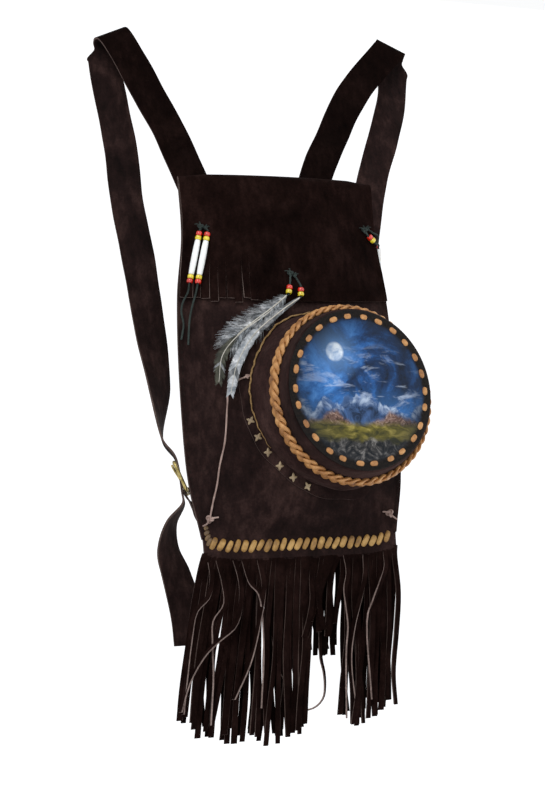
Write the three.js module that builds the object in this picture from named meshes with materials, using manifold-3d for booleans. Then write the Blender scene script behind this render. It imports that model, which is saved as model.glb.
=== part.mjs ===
import * as THREE from 'three';
import Module from 'manifold-3d';
import { mergeVertices } from 'three/addons/utils/BufferGeometryUtils.js';

// A suede medicine bag worn on two shoulder straps: a fringed body with a flap, a round laced
// pouch on its front, and beaded ties. Sizes are in millimetres. X runs across the bag, -Y is its
// front and +Z is up. The origin is where it hangs, midway between the crowns of its two straps.

const wasm = await Module();
wasm.setup();

// Leather and the clearance between pieces that lie on each other
const leather = 1.8;
const gap = 0.3;

// Cutters are this long, so that they pass right through
const throughLength = 80;

// Body
const hangDrop = 170;
const bodyHeight = 375;
const mouthDrop = 8;
const bandHeight = 14;
const topWidth = 210;
const waistWidth = 230;
const footWidth = 203;
const sideMargin = 6;
const mouthBulge = 14;
const frontBulge = 29;
const backBulge = 9;
const cornerLift = 9;

// Fringe below the laced seam
const strandCount = 22;
const strandSlit = 1.6;
const strandLength = 150;
const strandUneven = 22;
const fringeSpread = 1.14;
const fringeLean = -20;
const fringeDepth = 9;
const middleStrandX = 42;
const middleStrandHalfWidth = 16;
const middleStrandShare = 0.62;
const strandTaper = 1.4;
const strandSway = 1.2;

// Lace of the bottom seam
const laceWidth = 4.6;
const laceThickness = 1.4;
const laceBackWidth = 3.6;
const seamStitches = 24;
const stitchHeight = 11;
const stitchSlant = 6;
const stitchEndMargin = 6;
const laceHoleClearance = 0.5;

// Flap
const flapLength = 127;
const hemSag = 9;
const flapRest = 0.5;
const foldHeight = 5;
const hemSlitCount = 9;
const hemSlitDepth = 42;
const hemSlitWidth = 1.2;
const hemSlitsEnd = -30;
const tieHole = 4;

// Round pouch
const pouchX = 44;
const pouchDrop = 229;
const pouchFootRadius = 95;
const pouchFootRight = 55;
const pouchFootTop = 80;
const pouchFlange = 11;
const pouchSeamRadius = 84;
const pouchSeamShiftX = 2;
const pouchSeamDrop = 5;
const pouchSeamDepth = 60;
const pouchRimRadius = 77;
const pouchCoverDepth = 27;
const pouchRimShiftX = -4;
const pouchRimRise = 4;
const pouchRimRound = 2;
const pouchYaw = 8.6;
const pouchCollarFlare = 0.6;
const pouchSag = 3;
const pouchSides = 40;
const braidWidth = 9.5;
const braidThickness = 2.2;
const braidLoops = 48;
const discRadius = 75;
const discThickness = 1.5;
const discStitchRadius = 69;
const discStitchCount = 26;
const starStitchCount = 36;
const starStitchSize = 8.5;

// Shoulder straps, their buckles and billets
const strapWidth = 35;
const strapThickness = 2;
const strapSlotLength = 16;
const strapSlotDrop = 10;
const strapSlotWidth = 6.4;
const buckleBar = 3.6;
const buckleLength = 34;
const buckleSideRoom = 1.4;
const buckleRound = 5;
const crownRadius = 9;
const buckleReach = 8;
const prongWidth = 4;
const prongThickness = 1.8;
const billetWidth = 28;
const billetEndWidth = 17;
const billetWaist = 15;
const billetNeck = 5;
const billetNeckWidth = 20;
const billetThickness = 1.6;
const billetSlotReach = 5.5;
const billetFoot = 5;
const billetOpening = 34;
const cornerInset = 6.5;

// Beads, tie laces and feathers
const beadDiameter = 6.4;
const beadLength = 4.2;
const pipeDiameter = 6.4;
const beadBore = 2.8;
const pipeLength = 36;
const tieLift = 3.9;
const tieKnotRadius = 2.8;
const smallKnotRadius = 1.8;
const knotRadius = 2.4;
const tieLaceDiameter = 2;
const thongDiameter = 2.2;
const featherThickness = 1.2;

const foldZ = -hangDrop;
const mouthZ = foldZ - mouthDrop;
const seamZ = foldZ - bodyHeight;
const bandZ = seamZ - bandHeight;

const suede = { color: 0x2a1a17, roughness: 0.95, metalness: 0 };
const laceTan = { color: 0xc08a45, roughness: 0.8, metalness: 0 };
const rawhide = { color: 0x8a7570, roughness: 0.9, metalness: 0 };
const tieDark = { color: 0x3c4442, roughness: 0.9, metalness: 0 };
const beadRed = { color: 0xc8200a, roughness: 0.25, metalness: 0 };
const beadYellow = { color: 0xe0c818, roughness: 0.25, metalness: 0 };
const pipeWhite = { color: 0xf0ece2, roughness: 0.4, metalness: 0 };
const brass = { color: 0xb08d3c, roughness: 0.3, metalness: 1 };
const picture = { color: 0x2f62a8, roughness: 0.5, metalness: 0 };
const feather = { color: 0x8d9296, roughness: 0.8, metalness: 0 };

const bag = new THREE.Group();

function addPart(name, geometry, look) {
  geometry.computeVertexNormals();
  const mesh = new THREE.Mesh(geometry, new THREE.MeshStandardMaterial({ ...look, flatShading: true }));
  mesh.name = name;
  bag.add(mesh);
}

// Geometry helpers

const point = (x, y, z) => new THREE.Vector3(x, y, z);
const mixed = (a, b, share) => a + (b - a) * share;

function profile(stations, values) {
  const curve = new THREE.CubicInterpolant(stations, values, 1, new Float64Array(1));
  return (station) => curve.evaluate(station)[0];
}

function signedVolume(points, faces) {
  return faces.reduce((sum, [a, b, c]) => sum + points[a].dot(points[b].clone().cross(points[c])), 0);
}

function closedMesh(points, faces) {
  const outward = signedVolume(points, faces) > 0;
  const geometry = new THREE.BufferGeometry();
  const corners = points.flatMap((place) => place.toArray());
  geometry.setAttribute('position', new THREE.Float32BufferAttribute(corners, 3));
  geometry.setIndex(faces.flatMap(([a, b, c]) => (outward ? [a, b, c] : [a, c, b])));
  return geometry;
}

// Joins sections that have the same number of corners; with ring set, the last joins the first.
function loft(sections, ring = false) {
  const corners = sections[0].length;
  const spans = ring ? sections.length : sections.length - 1;
  const faces = [];
  for (let i = 0; i < spans; i++) {
    const near = i * corners;
    const far = ((i + 1) % sections.length) * corners;
    for (let j = 0; j < corners; j++) {
      const next = (j + 1) % corners;
      faces.push([near + j, near + next, far + next], [near + j, far + next, far + j]);
    }
  }
  if (!ring) {
    const last = spans * corners;
    for (let j = 1; j < corners - 1; j++) {
      faces.push([0, j + 1, j], [last, last + j, last + j + 1]);
    }
  }
  return closedMesh(sections.flat(), faces);
}

// A sheet of leather between two surfaces, each a function of two shares from 0 to 1.
function sheet(columns, rows, outer, inner) {
  const points = [];
  const faces = [];
  const at = (side, i, j) => (side * (rows + 1) + j) * (columns + 1) + i;
  const quad = (a, b, c, d) => faces.push([a, b, c], [a, c, d]);
  for (const surface of [outer, inner]) {
    for (let j = 0; j <= rows; j++) {
      for (let i = 0; i <= columns; i++) {
        points.push(surface(i / columns, j / rows));
      }
    }
  }
  for (let j = 0; j < rows; j++) {
    for (let i = 0; i < columns; i++) {
      quad(at(0, i, j), at(0, i + 1, j), at(0, i + 1, j + 1), at(0, i, j + 1));
      quad(at(1, i, j), at(1, i, j + 1), at(1, i + 1, j + 1), at(1, i + 1, j));
    }
    quad(at(0, 0, j), at(0, 0, j + 1), at(1, 0, j + 1), at(1, 0, j));
    quad(at(0, columns, j), at(1, columns, j), at(1, columns, j + 1), at(0, columns, j + 1));
  }
  for (let i = 0; i < columns; i++) {
    quad(at(0, i, 0), at(1, i, 0), at(1, i + 1, 0), at(0, i + 1, 0));
    quad(at(0, i, rows), at(0, i + 1, rows), at(1, i + 1, rows), at(1, i, rows));
  }
  return closedMesh(points, faces);
}

function solidOf(geometry) {
  const bare = new THREE.BufferGeometry();
  bare.setAttribute('position', geometry.getAttribute('position'));
  bare.setIndex(geometry.getIndex());
  const merged = mergeVertices(bare, 1e-4);
  return new wasm.Manifold(new wasm.Mesh({
    numProp: 3,
    vertProperties: new Float32Array(merged.getAttribute('position').array),
    triVerts: new Uint32Array(merged.getIndex().array),
  }));
}

function geometryOf(solid) {
  const mesh = solid.getMesh();
  const geometry = new THREE.BufferGeometry();
  geometry.setAttribute('position', new THREE.BufferAttribute(new Float32Array(mesh.vertProperties), 3));
  geometry.setIndex(new THREE.BufferAttribute(new Uint32Array(mesh.triVerts), 1));
  return geometry;
}

const fuse = (geometries) => geometryOf(geometries.map(solidOf).reduce((whole, piece) => whole.add(piece)));
const cut = (geometry, tools) => (
  geometryOf(tools.map(solidOf).reduce((rest, tool) => rest.subtract(tool), solidOf(geometry)))
);

// Stations along a band: each has its place, the direction across it and its width.
function bandStations(places, acrosses, widths, count) {
  const route = new THREE.CatmullRomCurve3(places);
  const across = new THREE.CatmullRomCurve3(acrosses);
  const width = profile(widths.map((value, k) => k / (widths.length - 1)), widths);
  return Array.from({ length: count + 1 }, (unused, k) => ({
    at: route.getPoint(k / count),
    across: across.getPoint(k / count).normalize(),
    width: width(k / count),
  }));
}

function band(stations, thickness, ring = false) {
  const last = stations.length - 1;
  return loft(stations.map(({ at, across, width }, k) => {
    const before = stations[ring ? (k + last) % (last + 1) : Math.max(k - 1, 0)].at;
    const after = stations[ring ? (k + 1) % (last + 1) : Math.min(k + 1, last)].at;
    const along = after.clone().sub(before).normalize();
    const out = along.clone().cross(across);
    const side = across.clone().multiplyScalar(width / 2 / out.length());
    out.setLength(thickness / 2);
    return [
      at.clone().add(side).add(out),
      at.clone().sub(side).add(out),
      at.clone().sub(side).sub(out),
      at.clone().add(side).sub(out),
    ];
  }), ring);
}

function cord(places, diameter, steps, sides = 6) {
  const outline = new THREE.Shape();
  for (let k = 0; k < sides; k++) {
    const angle = (2 * Math.PI * k) / sides;
    outline[k ? 'lineTo' : 'moveTo']((diameter / 2) * Math.cos(angle), (diameter / 2) * Math.sin(angle));
  }
  const route = new THREE.CatmullRomCurve3(places);
  return new THREE.ExtrudeGeometry(outline, { steps, bevelEnabled: false, extrudePath: route });
}

function block(width, depth, height, centre, turn = 0) {
  return new THREE.BoxGeometry(width, depth, height).rotateY(turn).translate(centre.x, centre.y, centre.z);
}

// Body: its outline and bulge are functions of the drop below the flap's fold.

const seamFlatDrop = bodyHeight - 9;

const halfWidthAt = profile(
  [0, 62, 125, 260, 315, bodyHeight, bodyHeight + bandHeight],
  [topWidth, topWidth - 1, waistWidth - 5, waistWidth, waistWidth - 6, footWidth, footWidth - 1]
    .map((width) => width / 2),
);
const frontBulgeAt = profile(
  [mouthDrop, 60, 200, 300, 345, seamFlatDrop, bodyHeight + bandHeight],
  [mouthBulge, mouthBulge + 8, frontBulge, frontBulge - 3, 13, 0, 0],
);
const backBulgeAt = profile(
  [0, 40, 200, 330, seamFlatDrop, bodyHeight + bandHeight],
  [0, 1, backBulge, 6, 0, 0],
);

function arch(x, drop) {
  const share = Math.min(Math.abs(x) / (halfWidthAt(drop) - sideMargin), 1);
  return 1 - share ** 2.2;
}

const bulgeY = (bulgeAt, x, z) => (
  leather + gap / 2 + Math.max(0, bulgeAt(foldZ - z)) * arch(x, foldZ - z)
);
const frontY = (x, z) => -bulgeY(frontBulgeAt, x, z);
const backY = (x, z) => bulgeY(backBulgeAt, x, z);
const bandLift = (x) => cornerLift * Math.abs(x / (footWidth / 2)) ** 8;

// Where the columns and rows of the leather lie: closer at the side seams, the mouth and the foot.
const columnShares = [-1, -0.946, -0.8, -0.6, -0.36, -0.12, 0.12, 0.36, 0.6, 0.8, 0.946, 1];
const lowerDrops = [70, 110, 150, 190, 230, 270, 305, 330, 350, seamFlatDrop, bodyHeight + bandHeight];
const flapDrops = [mouthDrop, 38, 70, 110, flapLength];
const columns = columnShares.length - 1;

const columnAt = (u) => columnShares[Math.round(u * columns)];
const rowAt = (rows, v) => rows[Math.round(v * (rows.length - 1))];

function panel(topDrops, surfaceY, thickness) {
  const rows = [...topDrops, ...lowerDrops];
  const place = (offset) => (u, v) => {
    const drop = rowAt(rows, v);
    const x = columnAt(u) * halfWidthAt(drop);
    const lift = drop > seamFlatDrop ? bandLift(x) : 0;
    return point(x, surfaceY(x, foldZ - drop) + offset, foldZ - drop + lift);
  };
  return sheet(columns, rows.length - 1, place(0), place(thickness));
}

const strandPitch = footWidth / strandCount;

// One hanging strand: it swings out to its own place, front strands forwards and back ones backwards.
function strand(index, side) {
  const top = -footWidth / 2 + strandPitch * (index + 0.5);
  const isMiddle = Math.abs(top - middleStrandX) < middleStrandHalfWidth;
  const uneven = strandUneven * Math.sin(index * 2.4 + side);
  const length = (isMiddle && side < 0 ? middleStrandShare : 1) * strandLength + uneven;
  const swing = (share) => 0.6 + 0.4 * Math.sin(index * 1.3 + share * 3);
  const stations = [0, 0.4, 1].map((share) => ({
    at: point(
      mixed(top, top * fringeSpread + fringeLean, share) + strandSway * Math.sin(share * 5 + index * 1.7),
      side * (gap / 2 + leather / 2 + fringeDepth * share * swing(share)),
      bandZ + bandLift(top) + 2 - share * length,
    ),
    across: point(1, 0.35 * Math.sin(index * 2.1 + side) * share, 0).normalize(),
    width: strandPitch - strandSlit - strandTaper * share,
  }));
  return band(stations, leather - 0.2);
}

function fringe(side) {
  return Array.from({ length: strandCount }, (unused, index) => strand(index, side));
}

// Places of the bottom lace: an upper and a lower row of holes, each stitch slanting between them.
const stitchPitch = (footWidth - 2 * stitchEndMargin) / seamStitches;
const stitchHoles = Array.from({ length: seamStitches }, (unused, k) => {
  const x = -footWidth / 2 + stitchEndMargin + stitchPitch * (k + 0.5);
  const z = seamZ + bandLift(x);
  return {
    upper: point(x + stitchSlant / 2, 0, z + stitchHeight / 2),
    lower: point(x - stitchSlant / 2, 0, z - stitchHeight / 2),
  };
});
const stitchTurn = Math.atan2(stitchSlant, stitchHeight);

const laceHoleLength = laceWidth + laceHoleClearance;
const laceHoleHeight = 2 * laceThickness + laceHoleClearance;
const laceCutters = stitchHoles.flatMap(({ upper, lower }) => [upper, lower]).map((hole) => (
  block(laceHoleLength, throughLength, laceHoleHeight, hole, stitchTurn)
));

function frontPanel() {
  return cut(fuse([panel([mouthDrop, 38], frontY, leather), ...fringe(-1)]), laceCutters);
}

function backPanel() {
  return cut(fuse([panel([leather / 2 + flapRest, 38], backY, -leather), ...fringe(1)]), laceCutters);
}

// The lace spirals on: down the front of each stitch, through the leather and up to the next one.
function bottomLacing() {
  const out = laceThickness / 2 + gap;
  const reach = (place, side) => {
    const y = side < 0 ? frontY(place.x, place.z) : backY(place.x, place.z);
    return y + side * out;
  };
  const run = (from, to, side, width) => {
    const middle = from.clone().lerp(to, 0.5);
    middle.y = side * Math.max(side * reach(from, side), side * reach(to, side));
    const height = from.distanceTo(to) + laceThickness;
    return block(width, laceThickness, height, middle, Math.atan2(to.x - from.x, to.z - from.z));
  };
  const post = (place) => {
    const [front, back] = [-1, 1].map((side) => reach(place, side) + (side * laceThickness) / 2);
    const middle = point(place.x, (front + back) / 2, place.z);
    return block(laceWidth, back - front, laceThickness, middle, stitchTurn);
  };
  return fuse(stitchHoles.flatMap(({ upper, lower }, k) => {
    const next = stitchHoles[k + 1];
    const pieces = [run(lower, upper, -1, laceWidth), post(upper), post(lower)];
    return next ? [...pieces, run(lower, next.upper, 1, laceBackWidth)] : pieces;
  }));
}

// Flap: from its fold at the top of the back panel it rolls forwards over the mouth and hangs.

const hingeY = gap / 2 + leather / 2;
const hemZ = foldZ - flapLength;
const tiePlaces = { left: point(-88, 0, -226), centre: point(-4, 0, -278), right: point(90, 0, -224) };

const rollStepCount = 5;
const flapY = (x, z) => frontY(x, z) - flapRest - leather;

function flapPlace(offset) {
  const steps = rollStepCount + flapDrops.length;
  return (u, v) => {
    const step = Math.round(v * (steps - 1));
    const side = columnAt(u);
    if (step < rollStepCount) {
      const x = side * halfWidthAt(mouthDrop);
      const radius = (hingeY - flapY(x, mouthZ) - leather / 2) / 2;
      const angle = (Math.PI * step) / rollStepCount;
      const height = Math.min(foldHeight, radius) + offset;
      const y = hingeY - radius + (radius + offset) * Math.cos(angle);
      return point(x, y, foldZ - mouthDrop * (step / rollStepCount) + height * Math.sin(angle));
    }
    const drop = flapDrops[step - rollStepCount];
    const x = side * halfWidthAt(drop);
    const sag = drop === flapLength ? hemSag * (1 - side ** 2) : 0;
    return point(x, flapY(x, foldZ - drop) + leather / 2 - offset, foldZ - drop - sag);
  };
}

function flap() {
  const rows = rollStepCount + flapDrops.length - 1;
  const whole = sheet(columns, rows, flapPlace(leather / 2), flapPlace(-leather / 2));
  const slits = Array.from({ length: hemSlitCount }, (unused, k) => {
    const x = mixed(-topWidth / 2, hemSlitsEnd, (k + 1) / (hemSlitCount + 1));
    return block(hemSlitWidth, throughLength, 2 * hemSlitDepth, point(x, 0, hemZ - hemSag / 2));
  });
  const holes = Object.values(tiePlaces).map((place) => block(tieHole, throughLength, tieHole, place));
  return cut(whole, [...slits, ...holes]);
}

// Round pouch: a wall with a turned-out flange sewn to the front panel, and a cover laced to it.

const yaw = THREE.MathUtils.degToRad(pouchYaw);
const pouchZ = foldZ - pouchDrop;
const seamCentre = point(pouchX + pouchSeamShiftX, -pouchSeamDepth, pouchZ - pouchSeamDrop);

// A point on the pouch's foot, lying on the front panel, at an angle round it and a radius beyond.
function footPlace(angle, beyond, lift) {
  const reach = Math.cos(angle) > 0 ? pouchFootRight : pouchFootRadius;
  const x = pouchX + (reach + beyond) * Math.cos(angle);
  const rise = Math.sin(angle) > 0 ? pouchFootTop : pouchFootRadius;
  const z = pouchZ + (rise + beyond) * Math.sin(angle);
  return point(x, frontY(x, z) - lift, z);
}

// A point on the drum in front of the seam: height above the seam's plane, and radius.
function drumPlace(angle, radius, height) {
  const along = height / pouchCoverDepth;
  const local = point(
    radius * Math.cos(angle) + pouchRimShiftX * along,
    -height,
    radius * Math.sin(angle) + pouchRimRise * along,
  );
  return local.applyAxisAngle(point(0, 0, 1), yaw).add(seamCentre);
}

const turnAt = (k, count) => (2 * Math.PI * k) / count;

const pouchLay = 2 * gap;
const collarDepth = braidWidth / 2 + 1;

function pouchWall() {
  const wall = loft(Array.from({ length: pouchSides }, (unused, k) => {
    const angle = turnAt(k, pouchSides);
    const sag = point(0, 0, -pouchSag * Math.max(0, -Math.sin(angle)));
    const skin = (inset) => {
      const foot = footPlace(angle, -inset, pouchLay + leather - inset);
      const collar = drumPlace(angle, pouchSeamRadius + pouchCollarFlare - inset, -collarDepth);
      const middle = foot.clone().lerp(collar, 0.5).add(sag);
      return [foot, middle, collar, drumPlace(angle, pouchSeamRadius - inset, -gap / 2)];
    };
    return [
      footPlace(angle, pouchFlange, pouchLay),
      footPlace(angle, pouchFlange, pouchLay + leather),
      ...skin(0),
      ...skin(leather).reverse(),
    ];
  }), true);
  const stars = Array.from({ length: starStitchCount }, (unused, k) => (
    starStitch(turnAt(k + 0.5, starStitchCount))
  ));
  return fuse([wall, ...stars]);
}

// A star stitch on the flange: crossed lace ends that rise to a point in the middle.
function starStitch(angle) {
  const surface = pouchLay + leather;
  const tips = 4;
  const turnOf = (length) => length / (pouchFootRadius + pouchFlange);
  const corner = (turn, reach) => footPlace(
    angle + turnOf(reach * Math.cos(turn)),
    pouchFlange / 2 + reach * Math.sin(turn),
    surface - leather / 3,
  );
  const points = Array.from({ length: 2 * tips }, (unused, k) => (
    corner(turnAt(k + 0.5, 2 * tips), (k % 2 ? 0.32 : 0.5) * starStitchSize)
  ));
  points.push(footPlace(angle, pouchFlange / 2, surface - leather / 2));
  points.push(footPlace(angle, pouchFlange / 2, surface + laceThickness));
  const foot = 2 * tips;
  const peak = foot + 1;
  const edges = Array.from({ length: 2 * tips }, (unused, k) => [k, (k + 1) % (2 * tips)]);
  return closedMesh(points, edges.flatMap(([a, b]) => [[a, b, peak], [b, a, foot]]));
}

const ringAt = (radius, height) => Array.from({ length: pouchSides }, (unused, k) => (
  drumPlace(turnAt(k, pouchSides), radius, height)
));

function pouchCover() {
  return loft([
    ringAt(pouchRimRadius - pouchRimRound - leather, pouchCoverDepth - leather),
    ringAt(pouchSeamRadius - leather, gap / 2),
    ringAt(pouchSeamRadius, gap / 2),
    ringAt(pouchRimRadius, pouchCoverDepth - pouchRimRound),
    ringAt(pouchRimRadius - pouchRimRound, pouchCoverDepth),
  ]);
}

// The lacing over the drum's seam: a closed braid whose loops meet in chevrons.
function pouchBraid() {
  const slope = (pouchSeamRadius - pouchRimRadius) / pouchCoverDepth;
  const rest = 2 * gap;
  return loft(Array.from({ length: 2 * braidLoops }, (unused, k) => {
    const high = k % 2 ? 1 : 0.45;
    const corner = (height, thickness, ahead) => {
      const radius = pouchSeamRadius + rest + thickness + (height < 0 ? pouchCollarFlare : -height * slope);
      return drumPlace(turnAt(k + ahead, 2 * braidLoops), radius, height);
    };
    return [
      corner(-braidWidth / 2, 0, 0),
      corner(-braidWidth / 2, braidThickness * 0.5 * high, 0),
      corner(0, braidThickness * high, 0.9),
      corner(braidWidth / 2, braidThickness * 0.5 * high, 0),
      corner(braidWidth / 2, 0, 0),
    ];
  }), true);
}

// The picture disc, its plain field edged by a ring of running stitches.
function pictureDisc() {
  const low = pouchCoverDepth + gap;
  const high = low + discThickness;
  const stitches = Array.from({ length: discStitchCount }, (unused, k) => {
    const angle = turnAt(k, discStitchCount);
    const half = (Math.PI / discStitchCount) * 0.5;
    return loft([-half, half].map((step) => [
      drumPlace(angle + step, discStitchRadius - 2.5, high - 0.5),
      drumPlace(angle + step, discStitchRadius + 2.5, high - 0.5),
      drumPlace(angle + step, discStitchRadius + 2, high + 1.2),
      drumPlace(angle + step, discStitchRadius - 2, high + 1.2),
    ]));
  });
  const plate = loft([ringAt(discRadius, low), ringAt(discRadius, high)]);
  return fuse([plate, ...stitches]);
}

// Buckles: each has its own frame of directions, across its bars, up the strap and outwards.

function buckleFrame(centre, up, acrossHint) {
  const along = up.clone().normalize();
  const out = along.clone().cross(acrossHint).normalize();
  const across = out.clone().cross(along).normalize();
  const place = (a, b, c) => (
    centre.clone().addScaledVector(across, a).addScaledVector(along, b).addScaledVector(out, c)
  );
  return { place, along, across, out };
}

const barMiddle = (buckleLength - buckleBar) / 2;
const billetOffset = buckleBar / 2 + gap + billetThickness / 2;
const strapOverBar = billetOffset + billetThickness / 2 + gap + strapThickness / 2;
const strapBehindBar = -(buckleBar / 2 + gap + strapThickness / 2);

function buckleRing({ place }) {
  const halfAcross = strapWidth / 2 + buckleSideRoom + buckleBar / 2;
  const stations = [];
  for (const [sideA, sideB, start] of [[1, 1, 0], [-1, 1, 1], [-1, -1, 2], [1, -1, 3]]) {
    for (let k = 0; k < 4; k++) {
      const angle = (Math.PI / 2) * (start + k / 3);
      const a = sideA * (halfAcross - buckleRound) + buckleRound * Math.cos(angle);
      const b = sideB * (barMiddle - buckleRound) + buckleRound * Math.sin(angle);
      stations.push({ a, b, angle });
    }
  }
  return loft(stations.map(({ a, b, angle }) => Array.from({ length: 6 }, (unused, j) => {
    const turn = turnAt(j, 6);
    const outwards = (buckleBar / 2) * Math.cos(turn);
    const proud = (buckleBar / 2) * Math.sin(turn);
    return place(a + outwards * Math.cos(angle), b + outwards * Math.sin(angle), proud);
  })), true);
}

// The prong: an eye round the lower bar and a tongue that passes through the strap's slot.
function buckleProng({ place }) {
  const inside = buckleBar / 2 + gap + 0.1;
  const outside = inside + 1.2;
  const eye = loft(Array.from({ length: 10 }, (unused, k) => {
    const turn = turnAt(k, 10);
    return [[inside, -1], [outside, -1], [outside, 1], [inside, 1]].map(([radius, side]) => (
      place((side * prongWidth) / 2, -barMiddle + radius * Math.cos(turn), radius * Math.sin(turn))
    ));
  }), true);
  const tip = buckleBar / 2 + gap;
  const tongue = loft([
    [-barMiddle + inside + 0.5, -0.9, 0.9],
    [-barMiddle * 0.2, -0.2, 1.2],
    [barMiddle - buckleBar / 2 - 1.5, tip - 0.4, tip + prongThickness],
    [barMiddle + 1, tip, tip + prongThickness],
  ].map(([b, low, high]) => [[-1, low], [1, low], [1, high], [-1, high]].map(([side, c]) => (
    place((side * prongWidth) / 2, b, c)
  ))));
  return fuse([eye, tongue]);
}

// The billet: a short strap folded round the lower bar, both plies running down to the corner.
// Both keep to one middle line, and part from it where they open round the bar.
function billet({ place, along, across, out }, corner) {
  const bar = place(0, -barMiddle, 0);
  const climb = bar.clone().sub(corner).setY(0).normalize();
  const cornerAcross = point(climb.z, 0, -climb.x);
  const waist = corner.clone().lerp(bar, 0.5);
  const neckWay = waist.clone().sub(bar).normalize().sub(along).setLength(billetNeck);
  const legs = [
    [corner.clone().addScaledVector(climb, -billetFoot), cornerAcross, billetEndWidth],
    [corner, cornerAcross, billetEndWidth],
    [corner.clone().lerp(bar, 0.2).setY(mixed(corner.y, bar.y, 0.08)), cornerAcross, billetEndWidth],
    [waist, cornerAcross.clone().lerp(across, 0.6), billetWaist],
    [bar.clone().add(neckWay), across, billetNeckWidth],
    [bar, across, billetWidth],
  ];
  const middle = bandStations(
    legs.map(([at]) => at),
    legs.map(([, legAcross]) => legAcross),
    legs.map(([, , width]) => width),
    (legs.length - 1) * 4,
  );
  const edges = [1, 0.5, 0, -0.5, -1];
  const section = (at, side, away, from) => [0, 1].flatMap((face) => (
    edges.map((edge) => at.clone()
      .addScaledVector(side, face ? -edge : edge)
      .addScaledVector(away, from + face * billetThickness))
  ));
  const round = buckleBar / 2 + gap;
  const leg = (sign) => middle.slice(0, -1).map(({ at, across: legAcross, width }, k) => {
    const ahead = middle[k + 1].at.clone().sub(middle[Math.max(k - 1, 0)].at).normalize();
    const gone = at.distanceTo(bar);
    const near = Math.max(0, 1 - gone / (2 * billetNeck));
    const away = ahead.cross(legAcross).normalize().lerp(out, near).normalize();
    const side = legAcross.clone().multiplyScalar(width / 2);
    const open = Math.max(0, 1 - gone / billetOpening);
    return section(at, side, away.multiplyScalar(sign), mixed(gap / 2, round, open));
  });
  const half = across.clone().multiplyScalar(billetWidth / 2);
  const around = Array.from({ length: 7 }, (unused, k) => {
    const turn = (Math.PI * k) / 6 - Math.PI / 2;
    const away = along.clone().multiplyScalar(Math.cos(turn)).addScaledVector(out, Math.sin(turn));
    return section(bar, half, away, round);
  });
  const whole = loft([...leg(-1), ...around, ...leg(1).reverse()]);
  const low = -barMiddle - billetSlotReach;
  const high = -barMiddle + billetOffset + billetThickness;
  const slot = loft([-1, 1].map((side) => [[low, -1], [high, -1], [high, 1], [low, 1]].map(([b, c]) => (
    place(side * (prongWidth / 2 + 2 * gap), b, c * buckleReach)
  ))));
  return cut(whole, [slot]);
}

// A shoulder strap: sewn to the back panel, over its crown, down to its buckle and into its tail.
function shoulderStrap(frame, before, acrossBefore, tail, acrossTail) {
  const { place, across } = frame;
  const threaded = [
    place(0, 42, 1),
    place(0, barMiddle + 8, strapBehindBar),
    place(0, barMiddle, strapBehindBar),
    place(0, -barMiddle, strapOverBar),
    place(0, -barMiddle - 9, strapOverBar + 3),
  ];
  const places = [...before, ...threaded, ...tail];
  const acrosses = [...acrossBefore, ...threaded.map(() => across), ...acrossTail];
  const stations = bandStations(places, acrosses, [strapWidth, strapWidth], places.length * 3);
  const whole = band(stations, strapThickness);
  const half = strapSlotWidth / 2;
  const low = -strapSlotDrop;
  const high = strapSlotLength - strapSlotDrop;
  const slot = loft([-half, half].map((a) => [
    place(a, high, -buckleReach),
    place(a, low, -buckleReach),
    place(a, low, buckleReach),
    place(a, high, buckleReach),
  ]));
  return cut(whole, [slot]);
}

const onBack = (x, z, lift) => point(x, backY(x, z) + lift, z);
const strapLay = 2 * gap + strapThickness / 2;

// A strap turns over its crown along a helix, so that the fold's top edge stays straight.
function crown(top, axis, lead) {
  const up = point(-axis.z, 0, axis.x);
  const centre = top.clone().addScaledVector(up, -crownRadius);
  return [-90, -45, 0, 45, 90].map((degrees) => {
    const turn = THREE.MathUtils.degToRad(degrees);
    return centre.clone()
      .addScaledVector(up, crownRadius * Math.cos(turn))
      .addScaledVector(axis, crownRadius * lead * turn)
      .add(point(0, crownRadius * Math.sin(turn), 0));
  });
}

const leftCrownAxis = point(0.912, 0, 0.41);
const rightCrownAxis = point(0.913, 0, -0.408);

const leftFrame = buckleFrame(point(-112, 27, -473), point(-0.34, 0.1, 0.93), point(0.3, 0.94, 0));
const leftStrapRoute = [
  onBack(-72, -230, strapLay), onBack(-77, -205, strapLay), point(-84, 9, -180),
  point(-92, 17, -150),
  point(-104, 28, -108), point(-118, 37, -72), point(-133, 45, -33),
  ...crown(point(-152, 62, 6.2), leftCrownAxis, -0.13),
  point(-154, 72, -16), point(-155, 71, -34), point(-151, 69, -69), point(-145, 65, -121),
  point(-143, 60, -177),
  point(-136, 54, -239), point(-130, 48, -310), point(-125, 40, -380),
];
const leftStrapAcross = [
  point(0.97, 0, 0.22), point(0.96, 0, 0.25), point(0.95, 0, 0.3), point(0.93, 0, 0.36),
  point(0.9, 0, 0.42), point(0.88, 0, 0.45), point(0.9, 0, 0.43),
  ...Array.from({ length: 5 }, () => leftCrownAxis),
  point(0.94, 0.02, 0.33), point(0.97, 0.02, 0.24),
  point(0.98, 0, 0.16), point(1, 0, 0.12), point(1, 0, 0.07),
  point(1, 0.05, 0.1), point(0.96, 0.2, 0.12), point(0.75, 0.6, 0.1),
];
const leftTail = [
  point(-122, 34, -516), point(-125, 40, -540), point(-118, 43, -565), point(-110, 42, -600),
  point(-107, 40, -636),
];
const leftTailAcross = [
  point(0.5, 0.85, 0), point(0.75, 0.65, 0), point(0.92, 0.38, 0), point(1, 0.1, 0), point(1, 0, 0),
];

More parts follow.
